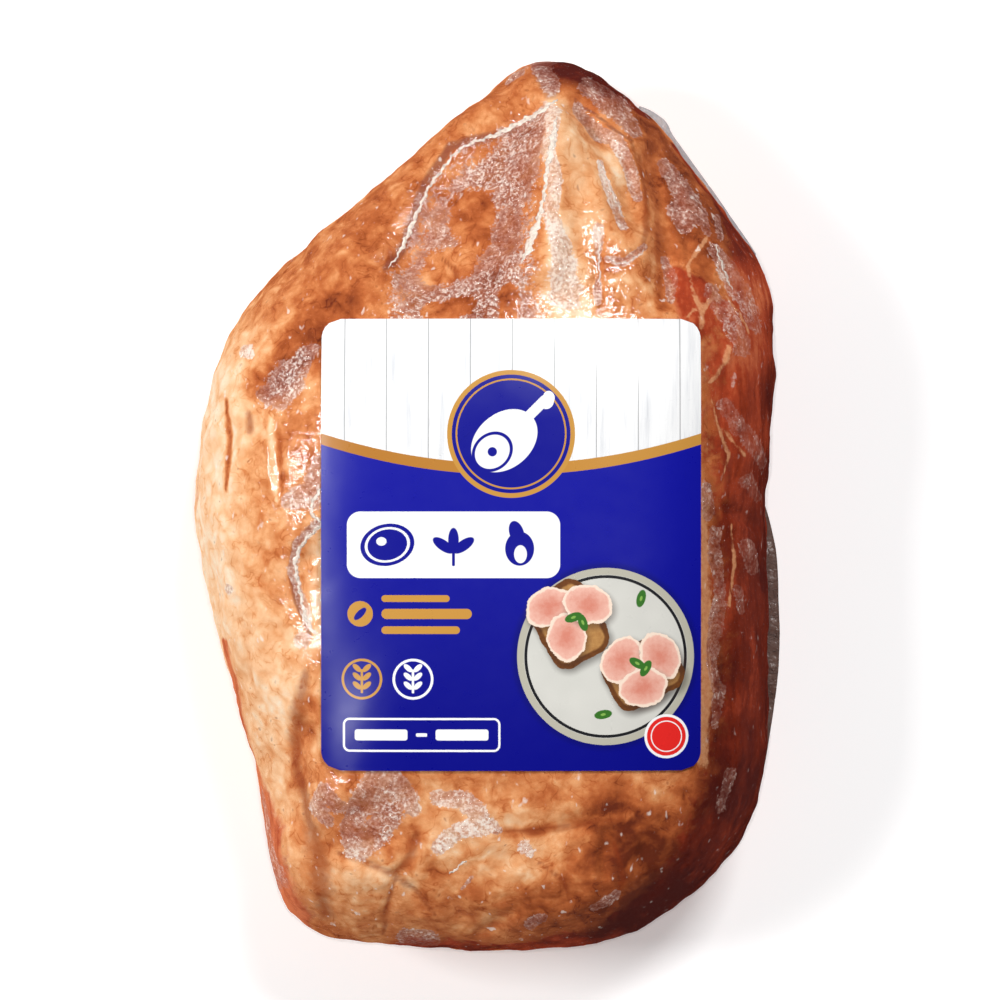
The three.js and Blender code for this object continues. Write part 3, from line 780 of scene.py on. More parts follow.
ham_offset, film_offset = meat_relief()
ham, ham_picked = wrapped_skin("ham", ham_offset - FILM_GAP)
for field_name, values in HAM_FIELDS.items():
    give_field(ham, ham_picked, field_name, values)
mark_free_skin(ham, ham_picked)
sew(ham)
MUSCLE_LUMPS = {"name": "muscle_lumps", "size": 14, "strength": 1.6, "middle": 0.5}
FAT_LOBES = {"name": "fat_lobes", "size": 5, "strength": 0.9, "middle": 0.8}
lumps(ham, **MUSCLE_LUMPS)
lumps(ham, **FAT_LOBES)


def field(tree, name):
    """The value that give_field marked on the piece's points."""
    return add(tree, "ShaderNodeAttribute", attribute_name=name).outputs["Fac"]


def rise(tree, value, low, high, top=1.0):
    """Eases from 0 at low to top at high. low may be above high."""
    inputs = {"Value": value, "From Min": low, "From Max": high, "To Min": 0.0, "To Max": top}
    return add(
        tree, "ShaderNodeMapRange", inputs, interpolation_type="SMOOTHSTEP"
    ).outputs["Result"]


def vector(tree, operation, *values):
    inputs = dict(enumerate(values))
    return add(tree, "ShaderNodeVectorMath", inputs, operation=operation).outputs["Vector"]


def times(tree, first, second):
    return calc(tree, "MULTIPLY", first, second)


def bumped(tree, height, strength, depth):
    """The normal of a surface with the relief height, depth millimetres high at full strength."""
    inputs = {"Height": height, "Strength": strength, "Distance": depth * MM}
    return add(tree, "ShaderNodeBump", inputs).outputs["Normal"]


def new_group(name, inputs, outputs):
    """A node group, its input node and its output node."""
    tree = bpy.data.node_groups.new(name, "ShaderNodeTree")
    for socket, kind in inputs.items():
        tree.interface.new_socket(socket, in_out="INPUT", socket_type="NodeSocket" + kind)
    for socket, kind in outputs.items():
        tree.interface.new_socket(socket, in_out="OUTPUT", socket_type="NodeSocket" + kind)
    return tree, add(tree, "NodeGroupInput").outputs, add(tree, "NodeGroupOutput").inputs


def crinkle_group():
    """Thin wandering lines, 1 on the line: the sharp folds of loose film, and thin veins."""
    tree, given, result = new_group(
        "crinkles", {"Place": "Vector", "Scale": "Float", "Width": "Float"}, {"Lines": "Float"}
    )
    cloud = add(tree, "ShaderNodeTexNoise", {
        "Vector": given["Place"], "Scale": given["Scale"], "Detail": 2.0, "Roughness": 0.6,
        "Distortion": 0.4,
    }).outputs["Fac"]
    off = calc(tree, "ABSOLUTE", calc(tree, "SUBTRACT", cloud, 0.5))
    tree.links.new(rise(tree, off, given["Width"], 0.0), result["Lines"])
    return tree


crinkles = crinkle_group()


def crinkle(tree, place, size, width):
    node = add(tree, "ShaderNodeGroup", node_tree=crinkles)
    tree.links.new(place, node.inputs["Place"])
    node.inputs["Scale"].default_value = 1 / size
    node.inputs["Width"].default_value = width
    return node.outputs["Lines"]


def swing(tree, onto, cloud, amount):
    """Adds noise to a value, up or down by half of amount."""
    return calc(tree, "ADD", calc(tree, "MULTIPLY_ADD", cloud, amount, -amount / 2), onto)


def calmed(tree, cloud, shift):
    """The noise with its swings halved where the fat is pale."""
    calm = rise(tree, shift, 0.0, 0.3, 0.5)
    return calc(tree, "MULTIPLY_ADD", calm, calc(tree, "SUBTRACT", 0.5, cloud), cloud)


def ragged(tree, value, coarse, fine, depth, low, high):
    """Turns a field into a mask with a ragged edge: a coarse and a fine noise eat into it."""
    shifted = swing(tree, value, coarse, depth * 3)
    shifted = swing(tree, shifted, fine, depth * 1.5)
    return rise(tree, shifted, low, high)


def ramp(tree, share, stops):
    """Colours by share, each stop a share and an 8-bit colour."""
    node = add(tree, "ShaderNodeValToRGB", {"Fac": share})
    elements = node.color_ramp.elements
    elements.remove(elements[1])
    for number, (position, colour) in enumerate(stops):
        element = elements[0] if number == 0 else elements.new(position)
        element.position, element.color = position, paint(*colour)
    return node.outputs["Color"]


FAT_COLOURS = [
    (0.06, (112, 46, 24)), (0.26, (162, 80, 40)), (0.40, (192, 104, 56)), (0.54, (216, 134, 80)),
    (0.68, (236, 166, 112)), (0.84, (252, 202, 156)), (1.0, (255, 230, 200)),
]
LEAN_COLOURS = [
    (0.18, (86, 24, 14)), (0.38, (122, 40, 20)), (0.60, (172, 66, 36)), (0.86, (222, 122, 78)),
]
VEIL_COLOURS = [
    (0.05, (116, 54, 42)), (0.38, (164, 108, 94)), (0.65, (204, 160, 144)), (0.95, (250, 236, 224)),
]


def meat_material():
    material, tree, output = new_material("smoked_meat")
    place = millimetres(tree)
    warp = add(
        tree, "ShaderNodeTexNoise", {"Vector": place, "Scale": 1 / 6, "Detail": 1.0}
    ).outputs["Color"]
    pull = vector(tree, "SUBTRACT", warp, (0.5, 0.5, 0.5))
    bent = vector(tree, "MULTIPLY_ADD", pull, (5, 5, 5), place)

    # Fat: pale lobes with amber between them, deeper where the smoke took, and lighter or darker where
    # the tone field paints light and shade
    broad = noise(tree, place, 20, 2.0)
    mottle = noise(tree, bent, 5, 3.0, 0.55)
    fine_mottle = noise(tree, place, 1.3, 3.0, 0.6)
    ragged_edge = noise(tree, place, 4, 3.0, 0.6)
    lobes = add(
        tree, "ShaderNodeTexVoronoi", {"Vector": bent, "Scale": 1 / 3.4}, feature="F1"
    ).outputs["Distance"]
    veins = times(tree, crinkle(tree, bent, 6, 0.024), rise(tree, mottle, 0.62, 0.4))
    shift = field(tree, "tone")
    tone = swing(tree, 0.57, broad, 0.4)
    tone = swing(tree, tone, calmed(tree, mottle, shift), 0.6)
    tone = swing(tree, tone, calmed(tree, fine_mottle, shift), 0.26)
    tone = calc(tree, "MULTIPLY_ADD", lobes, times(tree, broad, -0.45), tone)
    tone = calc(tree, "ADD", calc(tree, "ADD", shift, 0.1), tone)
    tone = calc(tree, "MULTIPLY_ADD", veins, -0.13, tone)
    fat = ramp(tree, tone, FAT_COLOURS)
    pore_mask = times(tree, rise(tree, lobes, 0.18, 0.05), rise(tree, mottle, 0.6, 0.45))
    colour = blend(tree, times(tree, pore_mask, 0.5), fat, paint(150, 64, 28))

    # Lean: smoked red-brown muscle with its fibres running along the ham
    fibre = noise(tree, millimetres(tree, (1, 0.25, 1)), 3.6, 3.0, 0.6)
    lean_tone = swing(tree, 0.6, fibre, 0.7)
    lean_tone = swing(tree, lean_tone, broad, 0.7)
    lean_tone = swing(tree, lean_tone, fine_mottle, 0.24)
    lean_tone = calc(tree, "ADD", shift, lean_tone)
    lean = ramp(tree, lean_tone, LEAN_COLOURS)
    lean_mask = ragged(tree, field(tree, "lean"), mottle, fine_mottle, 0.4, -0.12, 0.4)
    colour = blend(tree, lean_mask, colour, lean)

    fat_line = ragged(tree, field(tree, "fat_line"), fibre, fine_mottle, 0.8, -0.1, 0.6)
    line_colour = blend(tree, fine_mottle, paint(190, 104, 60), paint(244, 190, 140))
    colour = blend(tree, times(tree, fat_line, 0.75), colour, line_colour)
    # Red-brown creases: gathered juice, and painted shade in the creases in part
    crease = ragged(tree, field(tree, "crease"), ragged_edge, fine_mottle, 0.5, -0.6, 0.9)
    colour = blend(tree, times(tree, crease, 0.62), colour, paint(142, 58, 26))
    # Mauve-brown laid on: painted shadow along the folds and the furrow, and the mauve of gel in part
    mauve_gel_and_shade = ragged(tree, field(tree, "mauve_gel_and_shade"), ragged_edge, fine_mottle, 0.3, -0.3, 0.6)
    colour = blend(tree, times(tree, mauve_gel_and_shade, 0.65), colour, paint(124, 66, 58))

    # Gel and frost under loose film: a lilac grey veil with bright crinkles, which are white frost and
    # painted glints in part, and a pale rim
    gel, sparkle = field(tree, "gel"), rise(tree, field(tree, "sparkle"), -0.6, 0.6)
    grain = noise(tree, place, 0.8, 2.0, 0.65)
    edged = swing(tree, swing(tree, gel, ragged_edge, 2.2), grain, 1.8)
    streaky = times(tree, calc(tree, "SUBTRACT", fibre, 0.5), lean_mask)
    edged = calc(tree, "MULTIPLY_ADD", streaky, 4.0, edged)
    veil = rise(tree, edged, -0.1, 0.26)
    rim = calc(tree, "SUBTRACT", veil, rise(tree, edged, 0.1, 0.4), clamp=True)
    cloud = noise(tree, bent, 4.2, 3.0, 0.65)
    veil_tone = swing(tree, 0.54, cloud, 1.1)
    veil_tone = swing(tree, veil_tone, grain, 1.4)
    paler = calc(tree, "MINIMUM", calc(tree, "MAXIMUM", shift, -0.1), 0.16)
    veil_tone = calc(tree, "MULTIPLY_ADD", paler, calc(tree, "SUBTRACT", 1.6, lean_mask), veil_tone)
    veil_tone = calc(tree, "MULTIPLY_ADD", lean_mask, -0.15, veil_tone)
    veil_colour = ramp(tree, veil_tone, VEIL_COLOURS)
    thickness = swing(tree, 0.7, cloud, 0.8)
    thickness = calc(tree, "MULTIPLY_ADD", lean_mask, -0.33, thickness, clamp=True)
    colour = blend(tree, times(tree, thickness, veil), colour, veil_colour)
    # Bright threads along the crinkles: white frost, and painted glints of light in part
    threads = calc(
        tree, "MAXIMUM", crinkle(tree, bent, 2.4, 0.03),
        times(tree, crinkle(tree, place, 2.1, 0.07), sparkle),
    )
    threads = times(tree, threads, rise(tree, grain, 0.36, 0.6))
    seen = calc(tree, "ADD", cloud, times(tree, sparkle, 0.16))
    threads = times(tree, threads, rise(tree, seen, 0.42, 0.62, 0.8))
    white = times(tree, threads, veil)
    white = calc(tree, "MAXIMUM", white, times(tree, times(tree, rim, grain), 0.25))
    # Tiny white specks all over: painted glints of light on the film's small wrinkles
    painted_glints = rise(tree, noise(tree, millimetres(tree, (1, 0.5, 1)), 1.7, 1.0, 0.5), 0.67, 0.76)
    painted_glints = times(tree, painted_glints, rise(tree, cloud, 0.46, 0.56))
    white = calc(tree, "MAXIMUM", white, times(tree, painted_glints, 0.62))
    white = calc(tree, "MULTIPLY_ADD", lean_mask, times(tree, white, -0.5), white)
    # White laid over the meat: frost threads, the frost's pale rim and the painted glints
    colour = blend(tree, times(tree, white, 0.9), colour, paint(254, 244, 234))

    lift = noise(tree, place, 3.2, 3.0, 0.6)
    bump = bumped(tree, lift, 0.5, 0.7)
    # The film wets the meat, so the gloss is the film's and the meat has none of its own
    shader = add(tree, "ShaderNodeBsdfPrincipled", {
        "Base Color": colour, "Roughness": 0.6, "Normal": bump, "Specular IOR Level": 0.0,
    })
    tree.links.new(shader.outputs[0], output.inputs["Surface"])
    return material


ham.data.materials.append(meat_material())
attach(ham, "root")
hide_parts("sealed_ham")

# Film
# Clear shrink film, drawn tight by vacuum and heat. It bridges the sunk places, crinkles where
# gel lies under it, and its two layers are sealed flat along the right side.
film, film_picked = wrapped_skin("film", film_offset)
give_field(film, film_picked, "gel", HAM_FIELDS["gel"])
mark_free_skin(film, film_picked)
sew(film)
lumps(film, **MUSCLE_LUMPS)

# Gel and juice wet the inner face, so only the outer one mirrors, and never by much
MIRROR_SHARE, MOST_MIRROR = 0.9, 0.07


def film_material(name, tint, cloudy, thin=0.0, cloud_size=3.0, thick_field=None):
    """Film that lets through what is under it, mirrors by angle, and hides a share of what is
    under it by a milky tint: thin where it is clearest and cloudy more where noise is high.
    The tint fades to nothing with the field thick_field, if there is one."""
    material, tree, output = new_material(name)
    place = millimetres(tree)
    gel = rise(tree, field(tree, "gel"), -0.3, 0.3)
    folds = times(tree, crinkle(tree, place, 2.2, 0.06), gel)
    ripple = noise(tree, place, 1.7, 2.0, 0.5)
    height = calc(
        tree, "MULTIPLY_ADD", calc(tree, "SUBTRACT", ripple, 0.5),
        calc(tree, "MULTIPLY_ADD", gel, 0.8, 0.6), noise(tree, place, 8, 0.0),
    )
    height = calc(tree, "MULTIPLY_ADD", folds, 0.8, height)
    bump = bumped(tree, height, 0.8, 0.6)
    mirror = add(tree, "ShaderNodeFresnel", {"IOR": 1.5, "Normal": bump}).outputs["Fac"]
    mirror = calc(tree, "MINIMUM", times(tree, mirror, MIRROR_SHARE), MOST_MIRROR)
    clear = add(tree, "ShaderNodeBsdfTransparent")
    gloss = add(tree, "ShaderNodeBsdfPrincipled", {
        "Base Color": (0.96, 0.97, 1.0, 1.0), "Metallic": 1.0, "Roughness": 0.11, "Normal": bump
    })
    shine = add(tree, "ShaderNodeMixShader", {0: mirror, 1: clear.outputs[0], 2: gloss.outputs[0]})
    milk = add(tree, "ShaderNodeBsdfPrincipled", {
        "Base Color": tint, "Roughness": 0.35, "Normal": bump, "Specular IOR Level": 0.3
    })
    cloud = noise(tree, place, cloud_size, 3.0)
    hides = calc(tree, "MULTIPLY_ADD", cloud, cloudy, thin, clamp=True)
    if thick_field:
        hides = times(tree, hides, rise(tree, field(tree, thick_field), 0.05, 0.6))
    whole = add(tree, "ShaderNodeMixShader", {0: hides, 1: shine.outputs[0], 2: milk.outputs[0]})
    tree.links.new(whole.outputs[0], output.inputs["Surface"])
    return material


def let_light_pass(piece):
    """Light on its way to the meat passes the thin film freely, so only the camera meets it."""
    for ray in ("shadow", "diffuse", "glossy", "transmission"):
        setattr(piece, f"visible_{ray}", False)


let_light_pass(film)
film.data.materials.append(film_material("clear_film", paint(226, 226, 230), cloudy=0.008))
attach(film, "root")
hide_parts("sealed_ham")

# Folds of the film
# Where the film spans a crease of the meat it gathers in narrow standing folds, milky with the
# frost caught in them. Each follows the film's face and is a fraction of a millimetre high.
FOLDS = [
    [(16.7, 96.9, 0.8), (12.4, 93.7, 0.75), (8.6, 91.7, 0.7), (5.3, 90, 0.6), (2.2, 88.4, 0.6),
     (-1.1, 87.3, 0.4), (-4.5, 86.1, 0.3), (-7.8, 83.8, 0.3), (-11.1, 79.6, 0.35),
     (-13.8, 76, 0.4), (-15.6, 72.1, 0.35), (-17.3, 68.2, 0.4), (-18.7, 64.8, 0.6),
     (-20.3, 61.2, 0.6), (-21.9, 58.3, 0.4), (-23.6, 56.1, 0.3)],
    [(16.2, 92.2, 0.5), (15.7, 88, 0.9), (15, 83.8, 0.9), (14, 79.5, 0.6), (13.5, 74.6, 0.5),
     (12.8, 71, 0.5), (11.9, 66.9, 0.7), (10.4, 63.1, 1.1), (9.3, 59.7, 1.2), (7.8, 57.3, 0.7)],
    [(26.6, 82, 0.3), (28, 78.1, 0.35), (29.4, 74.3, 0.5), (30.8, 70.9, 0.7), (32.2, 68, 0.5)],
    [(26, 66, 0.5), (26.3, 61.5, 0.7), (26.2, 57.4, 0.35), (26.7, 50.7, 0.3)],
    [(28.4, 58.4, 0.3), (32, 57, 0.5), (37, 60.5, 0.35)],
    [(-38.6, -5, 0.5), (-43, -8.4, 0.4), (-45.2, -13, 0.6), (-44.6, -18, 0.5), (-43.6, -23, 0.4),
     (-42.6, -27, 0.6), (-39, -31, 0.4)],
    [(-38.8, 4, 0.6), (-41.5, -1, 0.5), (-38.8, -4, 0.4)],
    [(54, 62, 0.3), (56, 56, 0.4), (58, 51, 0.3)],
    [(-9, -87, 0.3), (-5, -83.5, 0.3)],
]
FOLD_MILK = [1.0, 0.7, 0.3, 0.34, 0.3, 0.7, 0.5, 0.4, 0.6]  # how milky each one is
FOLD_STEP, FOLD_ROWS = 0.35, 6
FOLD_HEIGHT = 0.35  # of its half-width
FOLD_LAYER, FOLD_LIFT = 0.05, 0.02  # a fold's own thickness, and how far it clears the film
ABOVE_ALL = 100.0  # folds are let down from this height onto the film
LINE_STEPS = 40  # from one point of a smooth line to the next


def open_line(points):
    """A smooth line through points, from the first to the last."""
    return outline(points, LINE_STEPS)[: LINE_STEPS * (len(points) - 1)]


def on_line(spots, stations, line):
    """The places on a line at spots, where stations says how far along its points lie."""
    return np.column_stack([np.interp(spots, stations, line[:, k]) for k in (0, 1)])


def thicken(piece, thickness, offset):
    """Gives the piece a thickness in millimetres. The offset is -1 inwards and 1 outwards."""
    modifier = piece.modifiers.new("thickness", "SOLIDIFY")
    modifier.thickness = thickness * MM
    modifier.offset = offset
    bpy.ops.object.modifier_apply(modifier="thickness")


def lay_fold(number, fold):
    """One fold as a narrow strip along its line, let down onto the film and raised along its
    middle."""
    line = open_line([place[:2] for place in fold])
    lengths = np.concatenate([[0], np.cumsum(np.hypot(*np.diff(line, axis=0).T))])
    steps = int(lengths[-1] / FOLD_STEP)
    strip, share, across = fresh_grid(f"film_fold_{number}", steps, FOLD_ROWS)
    spots = share * lengths[-1]
    middle = on_line(spots, lengths, line)
    ahead = on_line(spots, lengths, np.gradient(line, axis=0))
    ahead /= np.linalg.norm(ahead, axis=1, keepdims=True)
    aside = np.column_stack([-ahead[:, 1], ahead[:, 0]])
    half = np.interp(share * (len(fold) - 1), np.arange(len(fold)), [place[2] for place in fold])
    # Its width swells and thins, its ends taper off and its line wanders a little
    phase = number * 1.7
    half = half * (1 + 0.35 * np.sin(spots * 2.3 + phase) * np.sin(spots * 0.9 + 2 * phase))
    half = half * np.sqrt(np.clip(np.minimum(share, 1 - share) * 8, 0.02, 1))
    wander = 0.18 * np.sin(spots * 1.9 + phase) + 0.12 * np.sin(spots * 4.7)
    out = 2 * across - 1
    plan = middle + aside * (out * half + wander)[:, None]
    place_points(strip, np.column_stack([plan, np.full(len(plan), ABOVE_ALL)]))
    drop = strip.modifiers.new("drop", "SHRINKWRAP")
    drop.target = film
    drop.wrap_method = "PROJECT"
    drop.use_project_z = True
    drop.use_negative_direction = True
    drop.use_positive_direction = False
    bpy.ops.object.modifier_apply(modifier="drop")
    places = points_of(strip) / MM
    places[:, 2] += FOLD_HEIGHT * half * (1 - out ** 2) + FOLD_LIFT
    place_points(strip, places)
    give_field(strip, slice(None), "middle", FOLD_MILK[number] * (1 - out ** 2))
    thicken(strip, FOLD_LAYER, -1)
    return strip


folds = [lay_fold(number, fold) for number, fold in enumerate(FOLDS)]
bpy.ops.object.select_all(action="DESELECT")
for fold in folds:
    fold.select_set(True)
bpy.context.view_layer.objects.active = folds[0]
bpy.ops.object.join()
film_folds = folds[0]
film_folds.name = film_folds.data.name = "film_folds"
sew(film_folds)
film_folds.data.materials.append(film_material(
    "gathered_film", paint(246, 232, 218), cloudy=1.9, thin=-0.15, cloud_size=1.1,
    thick_field="middle",
))
let_light_pass(film_folds)
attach(film_folds, "root")
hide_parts("sealed_ham")

# Sealed edge of the film
# Two stretches where the flattened seam of the film stands out past the meat on the right
# side: a double layer, slightly wavy, a few millimetres wide.
SEAM_LEVEL = 28.6  # height above the table
SEAM_ROOT = 7.0  # from its free edge to the edge that lies in the ham
SEAM_LAYER = 0.25
SEAM_STEPS, SEAM_ROWS = 120, 8
SEAMS = {
    "film_seam_shank": (
        [(36.7, 96.6), (42.5, 93.7), (45.1, 89.4), (54.1, 76.9), (59.8, 68.7), (65, 60.9)],
        film_material("sealed_film_clear", paint(196, 200, 206), cloudy=0.5, thin=0.35),
    ),
    "film_seam_side": (
        [(66, 2), (69.6, -9.5), (70.5, -24), (70.7, -33), (70.2, -42), (68.4, -55), (65.6, -69)],
        # Darker brown tint of this seam: juice in the seam, and painted shade on this side in part
        film_material("sealed_film_juice_and_shade", paint(112, 84, 74), cloudy=0.3, thin=0.75),
    ),
}


def seam_wave(share):
    """The gentle ups and downs of the sealed edge."""
    return 0.5 * np.sin(share * 31) + 0.3 * np.sin(share * 73)


for seam_name, (seam_line, seam_material) in SEAMS.items():
    seam, share_along, share_in = fresh_grid(seam_name, SEAM_STEPS, SEAM_ROWS)
    line = open_line(seam_line)
    outer = on_line(share_along * (len(line) - 1), np.arange(len(line)), line)
    inward = CENTRE - outer
    inward /= np.linalg.norm(inward, axis=1, keepdims=True)
    plan = outer + inward * (SEAM_ROOT * share_in)[:, None]
    level = SEAM_LEVEL + seam_wave(share_along) * (1 - share_in)
    place_points(seam, np.column_stack([plan, level]))
    thicken(seam, SEAM_LAYER, 0)
    sew(seam)
    seam.data.materials.append(seam_material)
    let_light_pass(seam)
    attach(seam, "root")
    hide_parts("sealed_ham")

# Label
# A printed plastic label with rounded corners, stuck on the film over the crown. Its print is
# plain: a white planked field, a gold band, a deep blue field and simple food shapes.
LABEL_CORNER = 4.5
LABEL_LIFT = 0.3  # over the film
LABEL_FILM = 0.4
LABEL_FACES = (89, 106)
SHARP_EDGE = 40  # edges that turn by more degrees are not smoothed

label, share_across, share_down = fresh_grid("printed_label", *LABEL_FACES)
flat = (np.column_stack([share_across, 1 - share_down]) - 0.5) * LABEL_SIZE
into_corner = np.clip(np.abs(flat[:, 1]) - (LABEL_SIZE[1] / 2 - LABEL_CORNER), 0, None)
pulled = LABEL_CORNER - np.sqrt(np.maximum(LABEL_CORNER ** 2 - into_corner ** 2, 0))
flat[:, 0] *= 1 - pulled / (LABEL_SIZE[0] / 2)
plan = flat + LABEL_CENTRE
level = crown(plan[:, 0], plan[:, 1]) + LABEL_LIFT
place_points(label, np.column_stack([plan, level]))
thicken(label, LABEL_FILM, 1)
bpy.ops.object.shade_smooth_by_angle(angle=math.radians(SHARP_EDGE))


def shape_group(name, straight):
    """Distance in millimetres from the edge of an oval, or of a bar with round corners, less
    than 0 inside. Half is half its size, and Small the smaller half or the corner's radius."""
    tree, given, result = new_group(
        name, {"Place": "Vector", "Centre": "Vector", "Turn": "Float", "Half": "Vector",
               "Small": "Float"}, {"Distance": "Float"},
    )
    moved = vector(tree, "SUBTRACT", given["Place"], given["Centre"])
    turned = add(
        tree, "ShaderNodeVectorRotate",
        {"Vector": moved, "Angle": times(tree, given["Turn"], -1.0)},
        rotation_type="Z_AXIS",
    ).outputs["Vector"]
    if straight:
        size = vector(tree, "ABSOLUTE", turned)
        core = vector(tree, "SUBTRACT", given["Half"], given["Small"])
        past = vector(tree, "SUBTRACT", size, core)
        apart = add(tree, "ShaderNodeSeparateXYZ", {"Vector": past}).outputs
        beyond = add(
            tree, "ShaderNodeCombineXYZ",
            {"X": calc(tree, "MAXIMUM", apart["X"], 0.0), "Y": calc(tree, "MAXIMUM", apart["Y"], 0.0)},
        ).outputs["Vector"]
        length = add(tree, "ShaderNodeVectorMath", {0: beyond}, operation="LENGTH").outputs["Value"]
        within = calc(tree, "MINIMUM", calc(tree, "MAXIMUM", apart["X"], apart["Y"]), 0.0)
        distance = calc(tree, "SUBTRACT", calc(tree, "ADD", length, within), given["Small"])
    else:
        scaled = vector(tree, "DIVIDE", turned, given["Half"])
        length = add(tree, "ShaderNodeVectorMath", {0: scaled}, operation="LENGTH").outputs["Value"]
        distance = times(tree, calc(tree, "SUBTRACT", length, 1.0), given["Small"])
    tree.links.new(distance, result["Distance"])
    return tree


oval_shape, bar_shape = shape_group("oval_shape", False), shape_group("bar_shape", True)
INK_EDGE = 0.07


class Press:
    """Lays down the label's print, ink over ink, in millimetres from its middle."""

    def __init__(self, material_name):
        self.material, tree, self.output = new_material(material_name)
        self.tree = tree
        apart = add(tree, "ShaderNodeSeparateXYZ", {"Vector": millimetres(tree)}).outputs
        self.x = calc(tree, "SUBTRACT", apart["X"], float(LABEL_CENTRE[0]))
        self.y = calc(tree, "SUBTRACT", apart["Y"], float(LABEL_CENTRE[1]))
        self.place = add(
            tree, "ShaderNodeCombineXYZ", {"X": self.x, "Y": self.y}
        ).outputs["Vector"]
        self.colour = paint(255, 255, 255)
        self.wander = noise(tree, self.place, 3.0, 3.0)
        self.fine = noise(tree, self.place, 1.2, 4.0, 0.7)

    def distance(self, group, centre, half, small, turn=0.0):
        node = add(self.tree, "ShaderNodeGroup", node_tree=group)
        self.tree.links.new(self.place, node.inputs["Place"])
        node.inputs["Centre"].default_value = (*centre, 0)
        node.inputs["Half"].default_value = (*half, 1)
        node.inputs["Small"].default_value = small
        node.inputs["Turn"].default_value = math.radians(turn)
        return node.outputs["Distance"]

    def oval(self, centre, half, turn=0.0):
        return self.distance(oval_shape, centre, half, min(half), turn)

    def bar(self, centre, half, corner, turn=0.0):
        return self.distance(bar_shape, centre, half, corner, turn)

    def ink(self, distance, colour, grow=0.0, soft=INK_EDGE, strength=1.0):
        """Fills all that lies inside the distance given, grown or shrunk."""
        share = rise(self.tree, distance, grow + soft, grow - soft, strength)
        self.colour = blend(self.tree, share, self.colour, colour)

    def ring(self, distance, colour, outer, inner):
        """Draws a line along the edge of the distance given, from outer to inner."""
        share = calc(
            self.tree, "SUBTRACT", rise(self.tree, distance, outer + INK_EDGE, outer - INK_EDGE),
            rise(self.tree, distance, inner + INK_EDGE, inner - INK_EDGE), clamp=True,
        )
        self.colour = blend(self.tree, share, self.colour, colour)


WHITE, GOLD, RED = paint(255, 255, 255), paint(206, 150, 66), paint(236, 40, 36)
BLUE = paint(6, 9, 146)
BOARD, FIRST_JOINT = 9.85, -39.1  # width of a board, and where the first joint lies


def lay_planks(press):
    """White boards with thin grey joints and a little vertical grain."""
    tree, place = press.tree, press.place
    long_grain = add(tree, "ShaderNodeMapping", {"Vector": place, "Scale": (1, 0.05, 1)}).outputs[0]
    boards = blend(
        tree, rise(tree, noise(tree, long_grain, 2.6, 4.0, 0.75), 0.42, 0.75),
        WHITE, paint(222, 224, 228),
    )
    boards = blend(
        tree, rise(tree, noise(tree, long_grain, 0.9, 4.0, 0.7), 0.56, 0.8, 0.55),
        boards, paint(206, 207, 211),
    )
    from_first = calc(tree, "SUBTRACT", press.x, FIRST_JOINT)
    joints = rise(tree, calc(tree, "PINGPONG", from_first, BOARD / 2), 0.2, 0.06, 0.7)
    press.colour = blend(tree, joints, boards, paint(140, 140, 142))


def blue_ink(press):
    """The deep blue, a little lighter towards the top."""
    share = rise(press.tree, press.y, -50, 20)
    return blend(press.tree, share, paint(3, 6, 138), paint(10, 14, 160))


def lay_blue(press):
    press.colour = blue_ink(press)


def lay_fields(press):
    """A gold band that sags across the label, and the blue field under it."""
    tree = press.tree
    sag = times(tree, times(tree, press.x, press.x), 0.0036)
    level = calc(tree, "SUBTRACT", press.y, sag)
    gold = blend(tree, rise(tree, press.x, -44, 44), paint(186, 122, 44), paint(206, 148, 66))
    press.ink(level, gold, 19.0)
    press.ink(level, blue_ink(press), 16.4)


def lay_medallion(press):
    """A round blue badge with gold rings and a plain ham on it."""
    rim = press.oval((0, 26), (15, 15))
    press.ink(rim, GOLD)
    press.ink(rim, BLUE, -1.1)
    press.ring(rim, GOLD, -2.0, -2.4)
    press.ink(press.bar((5.6, 31.6), (4.4, 1.2), 1.1, 45), WHITE)
    press.ink(press.oval((8.4, 33.4), (1.7, 1.5), 45), WHITE)
    press.ink(press.oval((8.9, 34.6), (1.3, 1.5), 20), WHITE)
    press.ink(press.oval((-1.6, 24.4), (8.6, 6.4), 40), WHITE)
    cut = press.oval((-4.4, 21.8), (4.6, 5.4), -48)
    press.ring(cut, BLUE, -0.2, -0.9)
    press.ink(press.oval((-4.4, 21.8), (1.1, 1.1)), BLUE)


def lay_plaque(press):
    """A white plaque with three small blue signs: a slice, a leaf and a flame."""
    press.ink(press.bar((-13.5, 0), (25, 7.8), 3.2), WHITE)
    slice_edge = press.oval((-29, 0), (6.4, 4.9), 12)
    press.ink(slice_edge, BLUE)
    press.ring(slice_edge, WHITE, -0.8, -1.3)
    press.ink(press.oval((-30.4, 0.8), (1.2, 1.0)), WHITE)
    for turn in (35, 90, 145):
        lean_out = math.radians(turn)
        tip = (-13.5 + 2.9 * math.cos(lean_out), -1.8 + 2.9 * math.sin(lean_out))
        press.ink(press.oval(tip, (2.9, 1.25), turn), BLUE)
    press.ink(press.bar((-13.5, -3.2), (0.35, 1.8), 0.3), BLUE)
    press.ink(press.oval((2, -0.9), (3.4, 4.0)), BLUE)
    press.ink(press.oval((1.3, 2.8), (1.7, 2.9), 18), BLUE)
    press.ink(press.oval((2.2, -2.2), (1.5, 2.1)), WHITE)


